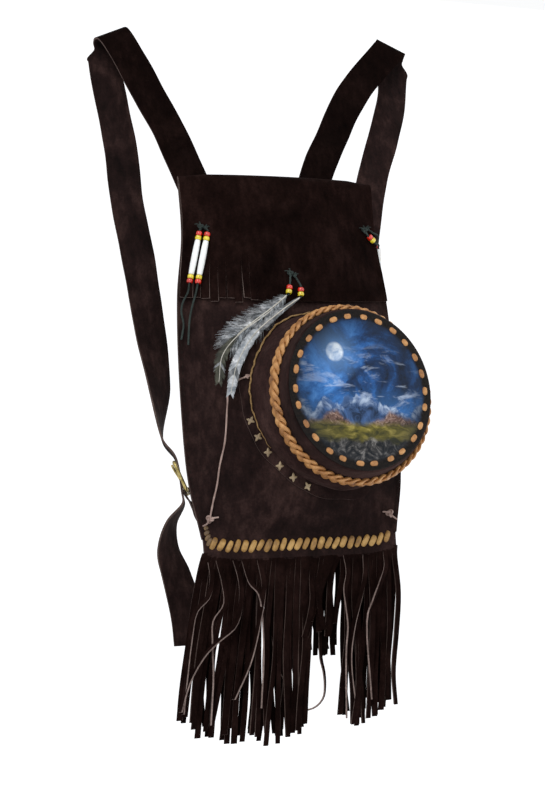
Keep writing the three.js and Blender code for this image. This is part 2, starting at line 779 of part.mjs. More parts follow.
const rightFrame = buckleFrame(point(90, 30, -473), point(0.3, 0.1, 0.93), point(0.9, 0.42, 0));
const rightStrapRoute = [
  onBack(30, -230, strapLay), onBack(36, -205, strapLay), point(44, 11, -178), point(58, 21, -146),
  point(81, 32, -106), point(100, 39, -72), point(121, 45, -42), point(143, 50, -17),
  ...crown(point(173.6, 62, 14.7), rightCrownAxis, 0.26),
  point(177, 72, -10), point(176, 72, -27), point(172, 70, -48), point(158, 68, -90),
  point(138, 64, -142),
  point(120, 58, -210), point(106, 50, -290), point(98, 42, -370),
];
const rightStrapAcross = [
  point(0.97, 0, -0.22), point(0.96, 0, -0.25), point(0.94, 0, -0.3), point(0.9, 0, -0.42),
  point(0.85, 0, -0.5), point(0.83, 0, -0.52), point(0.84, 0, -0.5), point(0.88, 0, -0.45),
  ...Array.from({ length: 5 }, () => rightCrownAxis),
  point(0.94, 0.03, -0.34), point(0.96, 0.05, -0.29), point(0.96, 0.05, -0.25), point(0.97, 0, -0.22),
  point(0.98, 0, -0.17), point(1, 0, -0.1), point(1, 0.1, -0.05), point(0.95, 0.25, 0),
];
const rightTail = [
  point(86, 42, -516), point(84, 48, -540), point(80, 50, -565), point(76, 48, -600),
  point(74, 46, -636),
];
const rightTailAcross = [
  point(0.95, 0.3, 0), point(0.98, 0.2, 0), point(1, 0.1, 0), point(1, 0, 0), point(1, 0, 0),
];

const billetLay = 5 * gap + billetThickness + gap / 2;
const cornerX = footWidth / 2 - cornerInset;
const leftCorner = onBack(-cornerX, -518, billetLay);
const rightCorner = onBack(cornerX, -518, billetLay);

// Knots, thong and ties

const knotBall = (place, radius) => (
  new THREE.IcosahedronGeometry(radius, 1).translate(place.x, place.y, place.z)
);
const thongHole = thongDiameter + 3 * gap;
const holeAt = (place) => block(thongHole, throughLength, thongHole, place);

// A knot on the front, a pin through the leather and a knot behind.
function cornerKnot(corner) {
  const front = point(corner.x, frontY(corner.x, corner.z) - gap - knotRadius, corner.z);
  const behind = point(corner.x, corner.y + billetThickness + 2 * gap + knotRadius, corner.z);
  const pin = cord([front, behind], thongDiameter, 1);
  return [pin, knotBall(front, knotRadius), knotBall(behind, knotRadius)];
}

// The thong is pinned through the pouch's flange and runs down the body to the left corner knot.
const thongPin = footPlace(Math.PI * 0.935, pouchFlange * 0.5, 0);

function thong() {
  const rest = thongDiameter / 2 + 2 * gap;
  const onFront = (x, z, lift) => point(x, frontY(x, z) - rest - lift, z);
  const start = onFront(thongPin.x, thongPin.z, pouchLay + leather);
  const inside = point(thongPin.x, frontY(thongPin.x, thongPin.z) + leather + gap + knotRadius, thongPin.z);
  const route = cord([
    start,
    onFront(-64, -385, pouchLay + leather),
    onFront(-72, -391, 0.8),
    onFront(-77, -408, 0.3),
    onFront(-82.5, -444, 0.3),
    onFront(-88, -466, 0.3),
    onFront(-92, -486, 0.3),
    onFront(-94.5, -502, 0.6),
    onFront(leftCorner.x, leftCorner.z, 1),
  ], thongDiameter, 26);
  return fuse([
    route,
    cord([start, inside], thongDiameter, 1),
    knotBall(inside, knotRadius),
    knotBall(start, knotRadius * 0.7),
    ...cornerKnot(leftCorner),
  ]);
}

function beadGeometry(diameter, length, top, along, rounded) {
  const shoulder = rounded ? length / 4 : 0;
  const radius = diameter / 2;
  const outline = [
    [beadBore / 2, -length / 2], [radius, -length / 2 + shoulder], [radius, length / 2 - shoulder],
    [beadBore / 2, length / 2], [beadBore / 2, -length / 2],
  ].map(([across, height]) => new THREE.Vector2(across, height));
  const centre = top.clone().addScaledVector(along, length / 2);
  const turn = new THREE.Quaternion().setFromUnitVectors(point(0, -1, 0), along);
  return new THREE.LatheGeometry(outline, 8).applyQuaternion(turn).translate(centre.x, centre.y, centre.z);
}

// Beads threaded one below the other on a straight stretch of lace.
function threadBeads(name, top, bottom, beads) {
  const along = bottom.clone().sub(top).normalize();
  const next = top.clone();
  beads.forEach(([label, diameter, length, look, rounded]) => {
    addPart(`${name}_${label}`, beadGeometry(diameter, length, next, along, rounded), look);
    next.addScaledVector(along, length + gap);
  });
}

const longTieBeads = [
  ['top_red_bead', beadDiameter, beadLength, beadRed, true],
  ['top_yellow_bead', beadDiameter, beadLength, beadYellow, true],
  ['pipe', pipeDiameter, pipeLength, pipeWhite, false],
  ['low_yellow_bead', beadDiameter, beadLength, beadYellow, true],
  ['low_red_bead', beadDiameter, beadLength, beadRed, true],
];

const onFlap = (x, z, lift = tieLift) => point(x, flapY(x, z) - lift, z);

// A lace column: from its knot on the flap through its straight runs of beads to its end.
function tieColumn(name, [knotX, knotZ], runs, tailEnd = []) {
  const isPinned = name.endsWith('_a');
  const radius = isPinned ? tieKnotRadius : smallKnotRadius;
  const knot = onFlap(knotX, knotZ, radius + gap);
  const route = runs.flatMap(({ via = [], top, bottom }) => {
    const along = bottom.clone().sub(top).normalize();
    const ahead = (place, distance) => place.clone().addScaledVector(along, distance);
    return [...via, ahead(top, -1.6), top, ahead(top, 4), bottom, ahead(bottom, 1.6)];
  });
  const steps = 2 * route.length + 3 * tailEnd.length;
  const pieces = [cord([knot, ...route, ...tailEnd], tieLaceDiameter, steps), knotBall(knot, radius)];
  if (isPinned) {
    const pin = point(knot.x, knot.y + radius + gap + leather, knot.z);
    pieces.push(cord([knot, pin], tieLaceDiameter, 1));
  }
  addPart(`${name}_lace`, fuse(pieces), tieDark);
  runs.forEach(({ top, bottom, beads }) => threadBeads(name, top, bottom, beads));
}

function featherPlate(places, widths, steps) {
  const acrosses = places.map((place, k) => {
    const along = places[Math.min(k + 1, places.length - 1)].clone().sub(places[Math.max(k - 1, 0)]);
    return point(-along.z, 0, along.x).normalize();
  });
  return band(bandStations(places, acrosses, widths, steps), featherThickness);
}

addPart('front_panel', cut(frontPanel(), [leftCorner, rightCorner, thongPin].map(holeAt)), suede);
addPart('back_panel', cut(backPanel(), [leftCorner, rightCorner].map(holeAt)), suede);
addPart('bottom_lacing', bottomLacing(), laceTan);
addPart('flap', flap(), suede);
addPart('pouch_wall', cut(pouchWall(), [holeAt(thongPin)]), suede);
addPart('pouch_cover', pouchCover(), suede);
addPart('pouch_braid', pouchBraid(), laceTan);
addPart('picture_disc', pictureDisc(), picture);
addPart(
  'left_strap',
  shoulderStrap(leftFrame, leftStrapRoute, leftStrapAcross, leftTail, leftTailAcross),
  suede,
);
addPart(
  'right_strap',
  shoulderStrap(rightFrame, rightStrapRoute, rightStrapAcross, rightTail, rightTailAcross),
  suede,
);
for (const [side, frame, corner] of [['left', leftFrame, leftCorner], ['right', rightFrame, rightCorner]]) {
  addPart(`${side}_billet`, cut(billet(frame, corner), [holeAt(corner)]), suede);
  addPart(`${side}_buckle_frame`, buckleRing(frame), brass);
  addPart(`${side}_buckle_prong`, buckleProng(frame), brass);
}
addPart('thong', thong(), rawhide);
addPart('right_corner_knot', fuse(cornerKnot(rightCorner)), rawhide);


tieColumn('left_tie_a', [tiePlaces.left.x, tiePlaces.left.z], [
  { top: onFlap(-89.6, -231.5), bottom: onFlap(-102.6, -284), beads: longTieBeads },
], [
  point(-104, -10, -292), point(-110, -8, -304), point(-111.4, -7, -312), point(-109.6, -6, -325),
  point(-112.8, -6, -340),
]);
tieColumn('left_tie_b', [-83.2, -227.4], [
  { top: onFlap(-82.2, -233), bottom: onFlap(-95.2, -285), beads: longTieBeads },
], [
  point(-97, -13, -294), point(-101, -11, -307), point(-104.5, -10, -322), point(-107, -9, -346),
]);
tieColumn('right_tie_a', [tiePlaces.right.x, tiePlaces.right.z], [
  { top: onFlap(94.2, -229.8), bottom: onFlap(101.2, -235.6), beads: longTieBeads.slice(0, 2) },
  {
    via: [point(107.4, -6, -237.4)],
    top: point(108.8, -1.4, -240),
    bottom: point(114.2, 21, -280),
    beads: longTieBeads.slice(2),
  },
], [point(116, 24, -290), point(117.5, 23.5, -306), point(118, 22, -325), point(117.5, 22, -342)]);
tieColumn('right_tie_b', [94.2, -221.2], [
  {
    via: [point(101, -8, -225), point(107.6, -6, -227.5), point(109.4, 0, -230)],
    top: point(110.2, 6.4, -234.4),
    bottom: point(116.5, 33, -281.5),
    beads: longTieBeads,
  },
], [point(117.4, 34, -288), point(118.5, 33, -304), point(119, 31, -322), point(118.5, 31, -338)]);
tieColumn('centre_tie_a', [tiePlaces.centre.x, tiePlaces.centre.z], [
  { top: onFlap(-6.4, -291), bottom: onFlap(-8.4, -299.6), beads: longTieBeads.slice(0, 2) },
]);
tieColumn('centre_tie_b', [0.5, -279.9], [
  { top: onFlap(5, -293.5), bottom: onFlap(4.2, -302.2), beads: longTieBeads.slice(0, 2) },
]);

addPart('wide_feather', featherPlate([
  point(-10, -35, -301), point(-24, -34, -312), point(-44, -32.5, -326), point(-60, -31, -338),
  point(-70, -29, -348),
], [2, 14, 27, 24, 8], 10), feather);
addPart('long_feather', featherPlate([
  point(3, -36.5, -303.5), point(-20, -37, -319), point(-48, -36.5, -342),
  point(-66, -34, -370), point(-74, -32, -399),
], [2, 7, 12, 11, 5], 12), feather);

export default bag;
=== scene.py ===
import math

import bmesh
import bpy
import numpy as np
from mathutils import Matrix, Vector


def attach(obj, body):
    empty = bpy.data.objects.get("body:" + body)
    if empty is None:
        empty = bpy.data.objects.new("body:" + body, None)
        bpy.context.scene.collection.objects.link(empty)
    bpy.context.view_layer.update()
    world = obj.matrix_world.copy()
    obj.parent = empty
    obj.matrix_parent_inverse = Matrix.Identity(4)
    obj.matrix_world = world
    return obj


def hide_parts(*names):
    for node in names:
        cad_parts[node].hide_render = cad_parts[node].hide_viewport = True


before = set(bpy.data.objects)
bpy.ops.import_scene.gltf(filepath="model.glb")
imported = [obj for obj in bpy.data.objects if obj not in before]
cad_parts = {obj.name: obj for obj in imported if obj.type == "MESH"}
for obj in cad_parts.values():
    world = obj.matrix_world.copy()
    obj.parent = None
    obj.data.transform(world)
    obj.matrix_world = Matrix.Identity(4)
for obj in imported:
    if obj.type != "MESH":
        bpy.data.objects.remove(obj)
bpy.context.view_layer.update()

# A suede medicine bag that hangs from its straps. Lengths below are in millimetres, as in the CAD
# source, and MM turns them into metres. X runs across, -Y is the front and +Z is up.

MM = 0.001

# Camera

CAMERA_AZIMUTH = -20
CAMERA_ELEVATION = -10
CAMERA_ROLL = 4
CAMERA_TARGET = np.array([-20, 0, -400])
CAMERA_DISTANCE = 1500
FILM_SIDE = 36
FILM_PIXELS = 800
FOCAL_PIXELS = 1500
CLIP_END = 20


def unit(v):
    v = np.asarray(v, float)
    return v / np.linalg.norm(v, axis=-1, keepdims=True)


def circle(count):
    """Angles in even steps once round."""
    return np.linspace(0, 2 * math.pi, count, endpoint=False)


def placed(name, data):
    """A new object in the scene."""
    made = bpy.data.objects.new(name, data)
    bpy.context.scene.collection.objects.link(made)
    return made


def make_camera():
    azimuth, elevation = math.radians(CAMERA_AZIMUTH), math.radians(CAMERA_ELEVATION)
    roll = math.radians(CAMERA_ROLL)
    back = np.array([
        math.sin(azimuth) * math.cos(elevation),
        -math.cos(azimuth) * math.cos(elevation),
        math.sin(elevation),
    ])
    level = np.array([math.cos(azimuth), math.sin(azimuth), 0])
    up = np.cross(back, level)
    right = level * math.cos(roll) - up * math.sin(roll)
    top = level * math.sin(roll) + up * math.cos(roll)
    data = bpy.data.cameras.new("camera")
    data.sensor_fit = "AUTO"
    data.sensor_width = FILM_SIDE
    data.lens = FOCAL_PIXELS / FILM_PIXELS * FILM_SIDE
    data.clip_end = CLIP_END
    camera = placed("camera", data)
    place = (CAMERA_TARGET + back * CAMERA_DISTANCE) * MM
    camera.matrix_world = Matrix([
        [right[0], top[0], back[0], place[0]],
        [right[1], top[1], back[1], place[1]],
        [right[2], top[2], back[2], place[2]],
        [0, 0, 0, 1],
    ])
    bpy.context.scene.camera = camera


make_camera()

# Sizes shared with the CAD source

LEATHER = 1.8
GAP = 0.3
HALF_PLY = GAP / 2 + LEATHER / 2
FOLD_Z = -170
BODY_HEIGHT = 375
MOUTH_DROP = 8
BAND_HEIGHT = 14
TOP_WIDTH = 210
WAIST_WIDTH = 230
FOOT_WIDTH = 203
SIDE_MARGIN = 6
CORNER_LIFT = 9
SEAM_Z = FOLD_Z - BODY_HEIGHT
BAND_Z = SEAM_Z - BAND_HEIGHT
SEAM_FLAT_DROP = BODY_HEIGHT - 9
FOOT_DROP = BODY_HEIGHT + BAND_HEIGHT
PANEL_ROWS = 130
PANEL_COLUMNS = 74
SEAM_INSET = 3.2
THREAD_PITCH = 7.0
THREAD_STITCH = 4.4
THREAD_WIDTH = 0.9

FLAP_LENGTH = 127
HEM_SAG = 9
FLAP_REST = 0.5
FOLD_HEIGHT = 5
HEM_SLITS = 9
HEM_SLIT_DEPTH = 42
HEM_SLITS_END = -30
FLAP_ROWS = 30
FLAP_COLUMNS = 52
STRIP_ROWS = 18
STRIP_COLUMNS = 5

POUCH_X = 44
POUCH_Z = FOLD_Z - 229
POUCH_FOOT_RADIUS = 95
POUCH_FOOT_RIGHT = 55
POUCH_FOOT_TOP = 80
POUCH_FOOT_LOBE = 6
POUCH_LOBE_TURN = math.radians(128)
POUCH_LOBE_SPREAD = math.radians(20)
POUCH_FLANGE = 11
POUCH_LAY = 2 * GAP
FLANGE_LIFT = POUCH_LAY + LEATHER
POUCH_SEAM_RADIUS = 85
POUCH_SEAM_CENTRE = np.array([POUCH_X - 2, -60, POUCH_Z - 7])
POUCH_RIM_RADIUS = 80
POUCH_RIM_ROUND = 2
POUCH_COVER_DEPTH = 27
POUCH_RIM_SHIFT = -7
POUCH_RIM_RISE = -1
POUCH_YAW = math.radians(8)
POUCH_COLLAR_FLARE = 0.6
POUCH_SAG = 3
BRAID_WIDTH = 18.5
BRAID_BULGE = 2.4
BRAID_LACE = 6.6
BRAID_THICKNESS = 3.6
BRAID_WEAVE = 1.7
BRAID_THIN_TURN = math.radians(40)
BRAID_WAVES = 18
LIP_RADIUS = 0.95
LIP_TURNS = (84, 214)
DISC_RADIUS = 78.5
DISC_THICKNESS = 1.5
DISC_STITCH_RADIUS = 72
DISC_STITCHES = 26
STAR_STITCHES = 36
SEEN_STARS = (189, 250)

STRAP_WIDTH = 35
STRAP_THICKNESS = 2
BUCKLE_BAR = 3.6
BUCKLE_LENGTH = 34
BUCKLE_ROUND = 5
BUCKLE_HALF_WIDTH = STRAP_WIDTH / 2 + 1.4 + BUCKLE_BAR / 2
BAR_MIDDLE = (BUCKLE_LENGTH - BUCKLE_BAR) / 2
CROWN_RADIUS = 9
BILLET_WIDTH = 28
BILLET_END_WIDTH = 17
BILLET_WAIST = 15
BILLET_NECK = 5
BILLET_NECK_WIDTH = 20
BILLET_OPENING = 34
BILLET_FOOT = 5
BILLET_THICKNESS = 1.6
CORNER_INSET = 6.5

SEAM_STITCHES = 24
SEAM_START = 6
STITCH_PITCH = (FOOT_WIDTH - 2 * SEAM_START) / SEAM_STITCHES
STITCH_HEIGHT = 11
STITCH_SLANT = 6
STITCH_LENGTH = 14.2
STITCH_SEAT = 0.55
STITCH_PUFF = 3.3
BACK_STITCH_PUFF = 2.4
LACE_WIDTH = 5.7
CORNER_TURNS = 4
CORNER_EDGE = 3.1
CORNER_RISE = 10
CORNER_CLIMB = 14

STRAND_PITCH = 4.3
STRAND_THICKNESS = LEATHER - 0.3
CURLED_WIDTH = 4.6
CURLED_TURNS = (-1.2, 1.15)

BEAD_RADIUS = 3.2
BEAD_LENGTH = 4.2
BEAD_BORE = 1.4
PIPE_LENGTH = 36
TIE_LIFT = 3.9
TIE_KNOT = 2.8
SMALL_KNOT = 1.8
TIE_RADIUS = 1
THONG_RADIUS = 1.1
THONG_SEEN_RADIUS = 0.82 * THONG_RADIUS
CORNER_KNOT = 3.4
CORNER_KNOT_CORD = 1.15
BACK_KNOT = 3.0
BACK_KNOT_CORD = 1.1

BARB_LEAN = 0.72
UPPER_PART = 0.42

# Curves and smooth profiles


def profile(stations, values):
    """A smooth curve through values at uneven stations, straight at its ends."""
    t, v = np.asarray(stations, float), np.asarray(values, float)

    def at(x):
        x = np.clip(np.asarray(x, float), t[0], t[-1])
        i = np.clip(np.searchsorted(t, x, side="right"), 1, len(t) - 1)
        before = np.where(i >= 2, i - 2, i)
        after = np.where(i + 1 <= len(t) - 1, i + 1, i - 1)
        t0, t1 = t[i - 1], t[i]
        half = (t1 - t0) / 2
        w0, w1 = half / (t0 - t[before]), half / (t[after] - t1)
        p = (x - t0) / (t1 - t0)
        pp, ppp = p * p, p * p * p
        return (
            (-w0 * ppp + 2 * w0 * pp - w0 * p) * v[before]
            + ((1 + w0) * ppp - (1.5 + 2 * w0) * pp + (w0 - 0.5) * p + 1) * v[i - 1]
            + (-(1 + w1) * ppp + (1.5 + w1) * pp + 0.5 * p) * v[i]
            + (w1 * ppp - w1 * pp) * v[after]
        )

    return at


def through(points, count):
    """count + 1 places along a smooth curve through the points."""
    p = np.asarray(points, float)
    p = np.vstack([2 * p[0] - p[1], p, 2 * p[-1] - p[-2]])
    made = []
    for t in np.linspace(0, len(p) - 3, count + 1):
        k = min(int(t), len(p) - 4)
        a, b, c, d = p[k : k + 4]
        s = t - k
        d0, d1, d2 = (max(np.linalg.norm(q - r) ** 0.5, 1e-4) for q, r in ((b, a), (c, b), (d, c)))
        m1 = ((b - a) / d0 - (c - a) / (d0 + d1) + (c - b) / d1) * d1
        m2 = ((c - b) / d1 - (d - b) / (d1 + d2) + (d - c) / d2) * d1
        made.append(
            b + m1 * s
            + (3 * (c - b) - 2 * m1 - m2) * s * s
            + (2 * (b - c) + m1 + m2) * s * s * s
        )
    return np.array(made)


def ease(a, b, x):
    s = np.clip((np.asarray(x, float) - a) / (b - a), 0, 1)
    return s * s * (3 - 2 * s)


half_width = profile(
    [0, 62, 125, 260, 315, BODY_HEIGHT, FOOT_DROP],
    np.array([
        TOP_WIDTH, TOP_WIDTH - 1, WAIST_WIDTH - 5, WAIST_WIDTH, WAIST_WIDTH - 6, FOOT_WIDTH, FOOT_WIDTH - 1,
    ]) / 2,
)
front_bulge = profile([MOUTH_DROP, 60, 200, 300, 345, SEAM_FLAT_DROP, FOOT_DROP], [14, 22, 29, 26, 13, 0, 0])
back_bulge = profile([0, 40, 200, 330, SEAM_FLAT_DROP, FOOT_DROP], [0, 1, 9, 6, 0, 0])


def arch(x, drop):
    share = np.minimum(np.abs(x) / (half_width(drop) - SIDE_MARGIN), 1)
    return 1 - share ** 2.2


def ripple(x, z, seed, length):
    """Soft uneven folds between -1 and 1, about as long as length."""
    total = 0
    for k in range(4):
        turn = seed * 1.7 + k * 2.399
        pitch = length * (1.25 - 0.17 * k)
        along = (x * math.cos(turn) + z * math.sin(turn)) / pitch * 2 * math.pi
        across = (z * math.cos(turn) - x * math.sin(turn)) / (1.6 * pitch) * 2 * math.pi
        total = total + np.sin(along + 1.3 * np.sin(across + seed) + seed * (k + 1))
    return total / 4


def front_y(x, z):
    drop = FOLD_Z - z
    free = arch(x, drop) * ease(125, 175, drop) * ease(SEAM_FLAT_DROP, SEAM_FLAT_DROP - 40, drop)
    folds = 2.4 * ripple(x, z, 2, 74) + 0.7 * ripple(x, z, 5, 31)
    return -(LEATHER + GAP / 2 + np.maximum(0, front_bulge(drop)) * arch(x, drop) + folds * free)


def back_y(x, z):
    drop = FOLD_Z - z
    free = arch(x, drop) * ease(60, 120, drop) * ease(SEAM_FLAT_DROP, SEAM_FLAT_DROP - 40, drop)
    folds = 1.6 * ripple(x, z, 9, 80)
    return LEATHER + GAP / 2 + np.maximum(0, back_bulge(drop)) * arch(x, drop) + folds * free


def band_lift(x):
    return CORNER_LIFT * np.abs(np.asarray(x) / (FOOT_WIDTH / 2)) ** 8


# Mesh building


class Form:
    """Points and faces of one piece, each face with the number of its material."""

    def __init__(self):
        self.points = []
        self.faces = []
        self.marks = []

    def add(self, points, faces, marks=0):
        base = len(self.points)
        self.points.extend(np.asarray(points, float).reshape(-1, 3).tolist())
        self.faces.extend([[base + i for i in face] for face in faces])
        self.marks.extend([marks] * len(faces) if isinstance(marks, int) else marks)

    def piece(self, name, materials, body, replaces=(), sharp=48, uv=None):
        mesh = bpy.data.meshes.new(name)
        mesh.from_pydata([[c * MM for c in p] for p in self.points], [], self.faces)
        mesh.polygons.foreach_set("material_index", self.marks)
        if uv is not None:
            layer = mesh.uv_layers.new(name="face")
            corners = np.zeros(len(mesh.loops), dtype=np.int32)
            mesh.loops.foreach_get("vertex_index", corners)
            layer.data.foreach_set("uv", np.asarray(uv, float)[corners].ravel())
        work = bmesh.new()
        work.from_mesh(mesh)
        bmesh.ops.recalc_face_normals(work, faces=work.faces)
        work.to_mesh(mesh)
        work.free()
        mesh.polygons.foreach_set("use_smooth", [True] * len(mesh.polygons))
        mesh.set_sharp_from_angle(angle=math.radians(sharp))
        for material in materials:
            mesh.materials.append(material)
        made = placed(name, mesh)
        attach(made, body)
        if replaces:
            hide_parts(*replaces)
        return made

    def slab(self, outer, inner, ring=False, marks=(0, 1, 0)):
        """A closed sheet between two grids; marks are those of its outer face, rim and inner face."""
        outer, inner = np.asarray(outer, float), np.asarray(inner, float)
        rows, columns = outer.shape[:2]
        index = lambda side, i, j: (side * rows + i % rows) * columns + j
        faces, faces_marks = [], []

        def quad(a, b, c, d, mark):
            faces.append([a, b, c, d])
            faces_marks.append(mark)

        for i in range(rows if ring else rows - 1):
            for j in range(columns - 1):
                quad(index(0, i, j), index(0, i, j + 1), index(0, i + 1, j + 1), index(0, i + 1, j), marks[0])
                quad(index(1, i, j), index(1, i + 1, j), index(1, i + 1, j + 1), index(1, i, j + 1), marks[2])
            for j in (0, columns - 1):
                quad(index(0, i, j), index(0, i + 1, j), index(1, i + 1, j), index(1, i, j), marks[1])
        if not ring:
            for i in (0, rows - 1):
                for j in range(columns - 1):
                    quad(index(0, i, j), index(1, i, j), index(1, i, j + 1), index(0, i, j + 1), marks[1])
        self.add(np.concatenate([outer.reshape(-1, 3), inner.reshape(-1, 3)]), faces, faces_marks)

    def loft(self, sections, ring=False, mark=0):
        """Sections with the same number of points, joined one to the next."""
        sections = np.asarray(sections, float)
        count, corners = sections.shape[:2]
        faces = []
        for i in range(count if ring else count - 1):
            near, far = i * corners, ((i + 1) % count) * corners
            for j in range(corners):
                k = (j + 1) % corners
                faces.append([near + j, near + k, far + k, far + j])
        if not ring:
            faces.append(list(range(corners))[::-1])
            faces.append([(count - 1) * corners + j for j in range(corners)])
        self.add(sections, faces, mark)

    def tube(self, path, radius, sides=8, mark=0, ring=False):
        """A round tube along a path; radius is one number or one for each point."""
        path = np.asarray(path, float)
        count = len(path)
        radius = np.broadcast_to(np.asarray(radius, float), (count,))
        if ring:
            along = unit(np.roll(path, -1, 0) - np.roll(path, 1, 0))
        else:
            along = unit(np.gradient(path, axis=0))
        side = unit(np.cross(along[0], [0.31, 0.17, 0.93]))
        sections = []
        for k in range(count):
            side = unit(side - along[k] * side.dot(along[k]))
            other = np.cross(along[k], side)
            turns = circle(sides)
            sections.append([
                path[k] + radius[k] * (math.cos(t) * side + math.sin(t) * other) for t in turns
            ])
        self.loft(sections, ring, mark)

    def leaf(self, centre, along, out, length, width, height, blunt=4.0, dive=0.8, mark=0, steps=8, sides=8):
        """A short puffed length of lace; high blunt gives square ends, and its ends dive under."""
        along, out = unit(along), unit(out)
        side = unit(np.cross(along, out))
        out = np.cross(side, along)
        sections = []
        for t in np.linspace(-0.985, 0.985, steps):
            share = (1 - abs(t) ** blunt) ** (1 / 2)
            place = np.asarray(centre) + along * t * length / 2 - out * dive * abs(t) ** 3
            turns = circle(sides)
            sections.append([
                place + side * math.cos(q) * width / 2 * share + out * math.sin(q) * height / 2 * share
                for q in turns
            ])
        self.loft(sections, mark=mark)

    def lathe(self, outline, top, along):
        """A closed outline of (radius, distance) turned about a line."""
        along = unit(along)
        side = unit(np.cross(along, [0.2, 1, 0.1]))
        other = np.cross(along, side)
        rings = []
        for q in circle(24):
            ray = math.cos(q) * side + math.sin(q) * other
            rings.append([np.asarray(top) + along * d + ray * r for r, d in outline])
        self.loft(rings, ring=True)


def normals(grid):
    du = np.gradient(grid, axis=1)
    dv = np.gradient(grid, axis=0)
    return unit(np.cross(du, dv))


def ribbon(form, places, acrosses, widths, thickness, columns=8, cup=0.0, marks=(0, 1, 0), seed=1):
    """A strap or strip: its middle line, the directions across it and its widths."""
    places, acrosses = np.asarray(places, float), unit(acrosses)
    out = np.cross(unit(np.gradient(places, axis=0)), acrosses)
    side = acrosses / np.linalg.norm(out, axis=-1, keepdims=True)
    out = unit(out)
    run = np.concatenate([[0], np.cumsum(np.linalg.norm(np.diff(places, axis=0), axis=1))])
    s = np.linspace(-1, 1, columns + 1)
    edge = 1 + 0.012 * np.sin(run / 17 + seed) + 0.008 * np.sin(run / 7.3 + 2 * seed)
    middle = (
        places[:, None]
        + side[:, None] * (s[None, :] * (widths * edge / 2)[:, None])[..., None]
        + out[:, None] * (cup * (1 - s ** 2))[None, :, None]
    )
    lift = out[:, None] * thickness / 2
    form.slab(middle + lift, middle - lift, marks=marks)


# Materials


class Nodes:
    """A material's node tree, with short calls for the nodes used here."""

    def __init__(self, name):
        self.material = bpy.data.materials.new(name)
        self.material.use_nodes = True
        self.tree = self.material.node_tree
        self.shader = self.tree.nodes["Principled BSDF"]
        self.place = self.node("ShaderNodeTexCoord").outputs["Object"]

    def node(self, kind, **inputs):
        made = self.tree.nodes.new(kind)
        for name, value in inputs.items():
            self.set(made.inputs[name.replace("_", " ")], value)
        return made

    def set(self, socket, value):
        if isinstance(value, bpy.types.NodeSocket):
            self.tree.links.new(value, socket)
        else:
            socket.default_value = value

    def noise(self, scale, detail=4.0, rough=0.55, twist=0.0, place=None):
        made = self.node("ShaderNodeTexNoise", Scale=scale, Detail=detail, Roughness=rough, Distortion=twist)
        self.set(made.inputs["Vector"], place or self.place)
        return made.outputs["Fac"]

    def ramp(self, value, stops):
        made = self.node("ShaderNodeValToRGB", Fac=value)
        elements = made.color_ramp.elements
        while len(elements) < len(stops):
            elements.new(0.5)
        for element, (position, colour) in zip(elements, stops):
            element.position = position
            element.color = (*colour, 1)
        return made.outputs["Color"]

    def math(self, kind, a, b=0.0, clamp=False):
        made = self.tree.nodes.new("ShaderNodeMath")
        made.operation = kind
        made.use_clamp = clamp
        self.set(made.inputs[0], a)
        self.set(made.inputs[1], b)
        return made.outputs[0]

    def times(self, a, b):
        return self.math("MULTIPLY", a, b)

    def scaled(self, value, factor, offset):
        return self.math("ADD", self.times(value, factor), offset)

    def weighed(self, a, b, share):
        """A mean of a and b in which a has this share."""
        return self.math("ADD", self.times(a, share), self.times(b, 1 - share))

    def mix(self, share, a, b, blend="MIX"):
        made = self.tree.nodes.new("ShaderNodeMix")
        made.data_type = "RGBA"
        made.blend_type = blend
        self.set(made.inputs[0], share)
        for socket, value in ((made.inputs[6], a), (made.inputs[7], b)):
            self.set(socket, value if isinstance(value, bpy.types.NodeSocket) else (*value, 1))
        return made.outputs[2]

    def bump(self, height, distance, strength=1.0, under=None):
        made = self.node("ShaderNodeBump", Height=height, Distance=distance, Strength=strength)
        if under is not None:
            self.set(made.inputs["Normal"], under)
        return made.outputs["Normal"]

    def stretched(self, scale, place=None, turn=0.0):
        made = self.node("ShaderNodeMapping", Vector=place or self.place)
        made.inputs["Scale"].default_value = scale
        made.inputs["Rotation"].default_value = (0, 0, turn)
        return made.outputs["Vector"]

    def finish(self, colour, rough, normal=None, **fixed):
        self.set(self.shader.inputs["Base Color"], colour)
        self.set(self.shader.inputs["Roughness"], rough)
        if normal is not None:
            self.set(self.shader.inputs["Normal"], normal)
        for name, value in fixed.items():
            self.set(self.shader.inputs[name.replace("_", " ")], value)
        return self.material


def suede(name, dark, middle, light, sheen=0.05, gloss=0.08):
    """Worn patches, brushed streaks and nap, over soft folds and fine creases."""
    n = Nodes(name)
    nap = n.noise(420, 5, 0.7)
    brushed = n.noise(1.0, 3, 0.6, 0.0, n.stretched((150, 150, 60)))
    tone = n.weighed(n.noise(17, 4, 0.55, 0.8), brushed, 0.62)
    base = n.ramp(tone, [(0.32, dark), (0.5, middle), (0.7, light)])
    speckle = n.ramp(nap, [(0.36, (0.72, 0.72, 0.72)), (0.62, (1.18, 1.15, 1.14))])
    folds = n.bump(n.noise(15, 3, 0.5, 1.4), 0.012, 0.55)
    creases = n.bump(n.noise(95, 4, 0.6, 0.4), 0.0012, 0.6, folds)
    return n.finish(
        n.mix(1, base, speckle, "MULTIPLY"), n.scaled(nap, 0.15, 0.82), n.bump(nap, 0.0005, 0.6, creases),
        Sheen_Weight=sheen, Sheen_Roughness=0.45, Sheen_Tint=(0.5, 0.34, 0.3, 1), Specular_IOR_Level=gloss,
    )


def fibrous(name, dark, light, rough=0.85):
    n = Nodes(name)
    fibres = n.noise(520, 5, 0.75)
    colour = n.ramp(n.weighed(fibres, n.noise(60, 2), 0.6), [(0.34, dark), (0.66, light)])
    return n.finish(colour, rough, n.bump(fibres, 0.0005, 0.8), Specular_IOR_Level=0.12)


